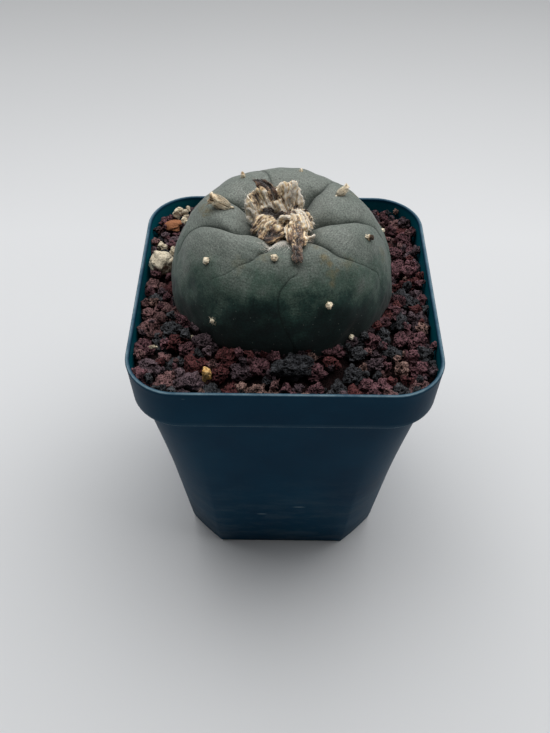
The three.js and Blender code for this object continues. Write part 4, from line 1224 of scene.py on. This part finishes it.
def place_stones():
    """Stones let down on the bed and on each other: big ones first, then the small
    ones that their gaps can take."""
    draw = np.random.default_rng(17)
    taken = [(*middle, sum(size) / SIZES_TO_RADIUS) for middle, size, *_ in [*STONES.values(), *BRIGHT_BITS]]
    placed = []
    for (biggest, smallest), steps, tries in STONE_SIZES:
        for attempt in range(tries):
            radius = biggest + (smallest - biggest) * attempt / tries
            x, y = draw.uniform(-1, 1, 2) * (RIM_WIDTH / 2 - LIP - 0.7 * radius)
            corner_middle = RIM_WIDTH / 2 - RIM_CORNER
            out = math.hypot(max(abs(x) - corner_middle, 0), max(abs(y) - corner_middle, 0))
            if out > RIM_CORNER - LIP - 0.75 * radius:
                continue
            if math.hypot(x - PLANT_X, y - PLANT_Y) < EQUATOR_RADIUS - UNDER_PLANT + 0.6 * radius:
                continue
            others = np.array(taken)
            near = STONE_KEEP * (radius + others[:, 3])
            away = np.hypot(others[:, 0] - x, others[:, 1] - y)
            rests = others[:, 2] + np.sqrt(np.maximum(near ** 2 - away ** 2, 0))
            height = max(bed_height(x, y) + 0.3 * radius, np.max(rests, where=away < near, initial=0.0))
            if height + radius < bed_height(x, y) + HEAP_RISE:
                taken.append((x, y, height, radius))
                placed.append((x, y, height, radius, steps))
    return placed


def cell_walls(points, size, seed):
    """Bubbles as random cells: how far each place is from the walls between them, in
    cells, and a draw of its cell's own."""
    place = points / size
    corner = np.floor(place)
    nearest, second = np.full((2, len(points)), 9.0)
    own = np.zeros(len(points))
    for shift in itertools.product((-1, 0, 1), repeat=3):
        cell = corner + shift
        mixed = np.sin(cell @ CELL_MIX + seed) * CELL_SPREAD
        middle = mixed - np.floor(mixed)
        away = np.linalg.norm(place - cell - middle, axis=1)
        closer = away < nearest
        second = np.where(closer, nearest, np.minimum(second, away))
        own = np.where(closer, middle[:, 0], own)
        nearest = np.minimum(nearest, away)
    return second - nearest, own


def broken_stone(size, steps, seed, turn=None, blocky=1.0):
    """A crushed stone round the origin before its bubbles: lumpy, chipped and bitten."""
    draw = np.random.default_rng(seed)
    if steps not in stone_balls:
        ball, faces = ball_mesh(steps)
        stone_balls[steps] = unit(ball + [0, 0, TOP_CROWDING]), faces
    ball, faces = stone_balls[steps]
    ball = np.sign(ball) * np.abs(ball) ** blocky
    shape = ball * (1 + 0.17 * ripple(ball, 1.9, seed) + 0.07 * ripple(ball, 0.8, seed + 1))[:, None]
    for _ in range(CHIPS):
        side = unit(draw.normal(size=3))
        past = np.maximum(shape @ side - draw.uniform(0.62, 0.9), 0)
        shape = shape - CHIP_FLATNESS * np.outer(past, side)
    for _ in range(BITES):
        from_bite = shape - unit(draw.normal(size=3)) * draw.uniform(1.05, 1.3)
        far = np.linalg.norm(from_bite, axis=1)[:, None]
        shape = shape + from_bite / far * np.maximum(draw.uniform(0.35, 0.6) - far, 0)
    tilt = draw.uniform(-0.5, 0.5) if turn is None else 0.0
    turn = draw.uniform(0, 6.3) if turn is None else turn
    lie = np.array(Matrix.Rotation(turn, 3, "Z") @ Matrix.Rotation(tilt, 3, "X"))
    shape = shape @ lie
    low, high = shape.min(0), shape.max(0)
    return ((shape - (low + high) / 2) * np.array(size) / (high - low)) @ lie.T, faces


def kept_clear(points):
    """Points pressed back where they would go into the pot's wall or into the plant."""
    points = points.copy()
    height = points[:, 2]
    ledge = SKIRT_FOOT_WIDTH - 2 * WALL
    mouth = RIM_WIDTH - 2 * LIP
    risen = (height - (SKIRT_INSIDE_TOP - SKIRT_INSIDE_DROP)) / SKIRT_INSIDE_DROP
    half = (ledge + (mouth - ledge) * np.clip(risen, 0, 1)) / 2 - STONE_CLEARANCE
    corner = RIM_CORNER - LIP - STONE_CLEARANCE
    flat = np.abs(points[:, :2])
    beyond = np.maximum(flat - (half - corner)[:, None], 0)
    out = np.linalg.norm(beyond, axis=1)
    shrink = np.minimum(corner / np.maximum(out, 1e-6), 1)[:, None]
    flat = np.where(beyond > 0, (half - corner)[:, None] + beyond * shrink, flat)
    points[:, :2] = np.sign(points[:, :2]) * flat
    away = points[:, :2] - [PLANT_X, PLANT_Y]
    reach = np.linalg.norm(away, axis=1)
    need = np.interp(height, plant_side[:, 1], plant_side[:, 0]) + PLANT_CLEARANCE
    points[:, :2] = [PLANT_X, PLANT_Y] + away * np.maximum(need / np.maximum(reach, 1e-6), 1)[:, None]
    return points


def bubbled(bodies, middles, bubble, depth):
    """Stones in their places as one mesh, full of burst gas bubbles of a size and a share
    of their full depth, and how deep in a bubble each of its points is."""
    shapes, faces = joined(bodies)
    counts = [len(points) for points, _ in bodies]
    points = shapes + np.repeat(np.array(middles), counts, axis=0)
    out = unit(shapes)
    points = points + out * (0.30 * ripple(points, 2.6, 55) + 0.20 * ripple(points, 1.3, 56))[:, None] * depth
    rough = points + 0.16 * np.stack([ripple(points, 1.6, seed) for seed in (51, 52, 53)], 1)
    walls, own = cell_walls(rough, bubble, 1.0)
    small_walls, small_own = cell_walls(rough, 0.52 * bubble, 2.0)
    big = smoothstep(0.02, 0.42, walls) * (0.35 + 0.65 * own)
    small = smoothstep(0.02, 0.45, small_walls) * (0.3 + 0.7 * small_own)
    sunk = depth * bubble * (0.62 * big + 0.24 * small - 0.06 * ripple(points, 0.6, 54))
    return kept_clear(points - out * sunk[:, None]), faces, np.clip(0.75 * big + 0.5 * small, 0, 1)


def stone_finish(name, hollow, dark, light, fleck=0.3, holes=0.9):
    """Porous rock: clouded tones and fine pores, with painted highlight on its pale ridges and
    painted shade in its near black bubbles and pores.
    """
    look = Look(bpy.data.materials.new(name), Roughness=0.93, Specular_IOR_Level=0.18)
    place = look.place()
    pit, tint = look.field("pit"), look.field("tint")
    cloud = look.noise(place, 480.0, 6.0, 0.7)
    grain = look.noise(place, 2300.0, 4.0, 0.6)
    mixed = look.math("MULTIPLY_ADD", tint, 0.45, cloud)
    tone = look.ramp(mixed, (0.42, dark), (0.90, light))
    grainy = look.product(tone, look.ramp(grain, (0.3, 0.5), (0.68, 1.4)))
    waver = look.node("TexNoise", {"Vector": place, "Scale": 900.0, "Detail": 2.0}).outputs["Color"]
    bent = look.node(
        "VectorMath", {0: waver, 1: (0.0007,) * 3, 2: place}, operation="MULTIPLY_ADD",
    ).outputs[0]
    sponge = look.cells(bent, 1450.0, "DISTANCE_TO_EDGE")
    # The fine pores are colour and bump only: their dark is painted shade.
    open_here = look.math("MULTIPLY", look.ramp(cloud, (0.34, 1.0), (0.66, 0.35)), holes)
    hole = look.math("MULTIPLY", look.ramp(sponge, (0.07, 0.0), (0.24, 1.0)), open_here)
    # Pale rims round the pores are a painted highlight.
    ridge = look.mix(look.ramp(sponge, (0.0, 0.7), (0.07, 0.0)), grainy, light)
    sunk = look.mix(hole, ridge, hollow)
    # Bubbles darken with depth towards the near black hollow colour: painted shade.
    deep = look.mix(look.ramp(pit, (0.22, 0.0), (0.68, 0.97)), sunk, hollow)
    crystal = look.ramp(look.cells(place, 1300.0), (0.08, fleck), (0.17, 0.0))
    look.shade(Base_Color=look.mix(crystal, deep, (0.30, 0.29, 0.28)))
    look.bump(look.math("MULTIPLY_ADD", hole, -1.6, grain), 0.9, 0.00018)
    return look.data


# Each finish with the near black of the painted shade in its bubbles, its dark and light
# tones, and where they differ from lava's, its flecks and how open its pores are
STONE_FINISHES = {key: stone_finish(*tones) for key, tones in {
    "maroon": ("maroon_lava", (0.004, 0.002, 0.003), (0.056, 0.025, 0.028), (0.235, 0.112, 0.128)),
    "wine": ("wine_red_lava", (0.004, 0.002, 0.002), (0.052, 0.017, 0.019), (0.18, 0.060, 0.060)),
    "rust": ("rust_lava", (0.005, 0.003, 0.003), (0.072, 0.036, 0.034), (0.28, 0.152, 0.150)),
    "purple": ("purple_lava", (0.003, 0.002, 0.003), (0.040, 0.027, 0.034), (0.17, 0.117, 0.132)),
    "black": ("black_lava", (0.001, 0.001, 0.002), (0.003, 0.004, 0.006), (0.100, 0.103, 0.112)),
    "pink": ("pinkish_lava", (0.008, 0.004, 0.004), (0.13, 0.074, 0.063), (0.38, 0.235, 0.20)),
    "pumice": ("cream_pumice", (0.16, 0.13, 0.09), (0.50, 0.42, 0.29), (0.82, 0.73, 0.56), 0.0, 0.35),
    "bark": ("bark", (0.05, 0.018, 0.01), (0.12, 0.042, 0.019), (0.42, 0.180, 0.088), 0.0, 0.15),
    "yellow": ("yellow_chip", (0.22, 0.11, 0.02), (0.66, 0.29, 0.03), (0.82, 0.60, 0.29), 0.0, 0.1),
}.items()}

fines = stone_finish("dark_fines", (0.003, 0.002, 0.002), (0.012, 0.006, 0.006), (0.04, 0.018, 0.018), 0.0)
bed = add_mesh("grit_bed", *bed_mesh(), fines)
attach(bed, "root")
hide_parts("lava_grit")

heaps = {finish: [] for finish in (*MIXED, "pumice")}
mixing = np.random.default_rng(3)
mix_places = np.array([place for place, _ in MIXES])
for number, (x, y, z, radius, steps) in enumerate(place_stones()):
    body = broken_stone(2 * radius * mixing.uniform(0.9, 1.16, 3), steps, 3000 + number)
    nearest = np.argmin(np.linalg.norm(mix_places - [x, y] + mixing.normal(0, 9, 2), axis=1))
    heaps[mixing.choice(MIXED, p=MIXES[nearest][1])].append((body, (x, y, z)))
for number, (middle, size, finish) in enumerate(BRIGHT_BITS):
    heaps[finish].append((broken_stone(size, 5, 6000 + number), middle))
for finish, stones in heaps.items():
    bodies, middles = zip(*stones)
    points, faces, pits = bubbled(bodies, middles, GRIT_BUBBLE, 0.5 if finish == "pumice" else 1.0)
    tints = np.concatenate([
        np.full(len(body[0]), mixing.uniform(0, 1) * min(len(body[1]) / 700, 1)) for body in bodies
    ])
    grit = add_mesh(finish + "_grit", points, faces, STONE_FINISHES[finish], pit=pits, tint=tints)
    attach(grit, "root")
    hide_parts("lava_grit")

# Single stones that stand out by their size or colour: black, purple, red and
# pinkish lava, cream pumice, an orange chip of bark and a yellow one. The two
# chips are whole, with hardly any pores.
STONE_BUBBLE = 1.15
STONE_STEPS = 13
SIZE_WITH_BUBBLES = 1.03

for number, (name, (middle, size, turn, finish)) in enumerate(STONES.items()):
    depth = {"bark": 0.15, "yellow": 0.15, "pumice": 0.45}.get(finish, 1.0)
    blocky = 0.6 if finish in ("bark", "yellow") else 1.0
    size = np.array(size) * SIZE_WITH_BUBBLES
    body = broken_stone(size, STONE_STEPS, 8000 + number, math.radians(turn), blocky)
    points, faces, pits = bubbled([body], [middle], STONE_BUBBLE, depth)
    stone = add_mesh(
        name + "_stone", points, faces, STONE_FINISHES[finish],
        pit=depth * pits, tint=np.full(len(pits), mixing.uniform(0.2, 0.8)),
    )
    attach(stone, "root")
    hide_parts(name)

# The studio: a pale matt floor with painted shade towards the back, a large soft lamp
# overhead and a little behind, and a pale sky. The camera looks down from in front,
# as for the photograph.
FLOOR_REACH = 3000.0
LAMP_PLACE = Vector((60, 205, 780))
LAMP_AIM = Vector((0, 0, 60))
LAMP_SIZE = (1200, 850)
LAMP_POWER = 8.25
CAMERA_PLACE = Vector((-2.246, -196.375, 267.335))
CAMERA_WAY = Vector((-0.00204, 0.68207, -0.73128))
CAMERA_ROLL = math.radians(0.51)
FOCAL_PIXELS = 867.9
PICTURE_HEIGHT = 733
SENSOR = 36.0

paper = Look(bpy.data.materials.new("pale_paper"), Roughness=0.9, Specular_IOR_Level=0.2)
paper_place = paper.place()
paper_cloud = paper.noise(paper_place, 3.0, 2.0)
paper_tone = paper.ramp(paper_cloud, (0.3, (0.70, 0.71, 0.72)), (0.7, (0.74, 0.75, 0.76)))
# Painted shade: the floor's colour darkens towards the back.
painted_back_shade = paper.range(paper.axis(paper_place, "Y"), 0.14, 0.42, 1.0, 0.62)
paper.shade(Base_Color=paper.product(paper_tone, painted_back_shade))
floor_points = FLOOR_REACH * np.array([(-1, -1, 0), (1, -1, 0), (1, 1, 0), (-1, 1, 0)])
floor = add_mesh("floor", floor_points, np.array([(0, 1, 2), (0, 2, 3)]), paper.data)

lamp_data = bpy.data.lights.new("overhead_softbox", "AREA")
lamp_data.shape = "RECTANGLE"
lamp_data.size, lamp_data.size_y = LAMP_SIZE[0] * MM, LAMP_SIZE[1] * MM
lamp_data.energy = LAMP_POWER
lamp_data.color = (1.0, 0.99, 0.98)
lamp = add_object("overhead_softbox", lamp_data)
lamp.location = LAMP_PLACE * MM
lamp.rotation_euler = (LAMP_AIM - LAMP_PLACE).to_track_quat("-Z", "Y").to_euler()

sky = Look(bpy.data.worlds.new("pale_sky"), "Background", Color=(0.86, 0.90, 0.95, 1.0))
from_back = sky.range(sky.axis(sky.place("Generated"), "Y"), -0.45, 0.2, 0.03, 0.40)
seen = sky.node("LightPath").outputs["Is Camera Ray"]
sky.shade(Strength=sky.node("Mix", {0: seen, 2: from_back, 3: 0.7}).outputs[0])
bpy.context.scene.world = sky.data
bpy.context.scene.view_settings.view_transform = "Standard"

camera_data = bpy.data.cameras.new("camera")
camera_data.sensor_width = SENSOR
camera_data.lens = FOCAL_PIXELS / PICTURE_HEIGHT * SENSOR
camera_data.clip_start = 0.01
camera = add_object("camera", camera_data)
level_right = CAMERA_WAY.cross(Vector((0, 0, 1))).normalized()
level_up = level_right.cross(CAMERA_WAY)
right = level_right * math.cos(CAMERA_ROLL) + level_up * math.sin(CAMERA_ROLL)
up = level_up * math.cos(CAMERA_ROLL) - level_right * math.sin(CAMERA_ROLL)
turned = Matrix((right, up, -CAMERA_WAY.normalized())).transposed().to_4x4()
camera.matrix_world = Matrix.Translation(CAMERA_PLACE * MM) @ turned
bpy.context.scene.camera = camera
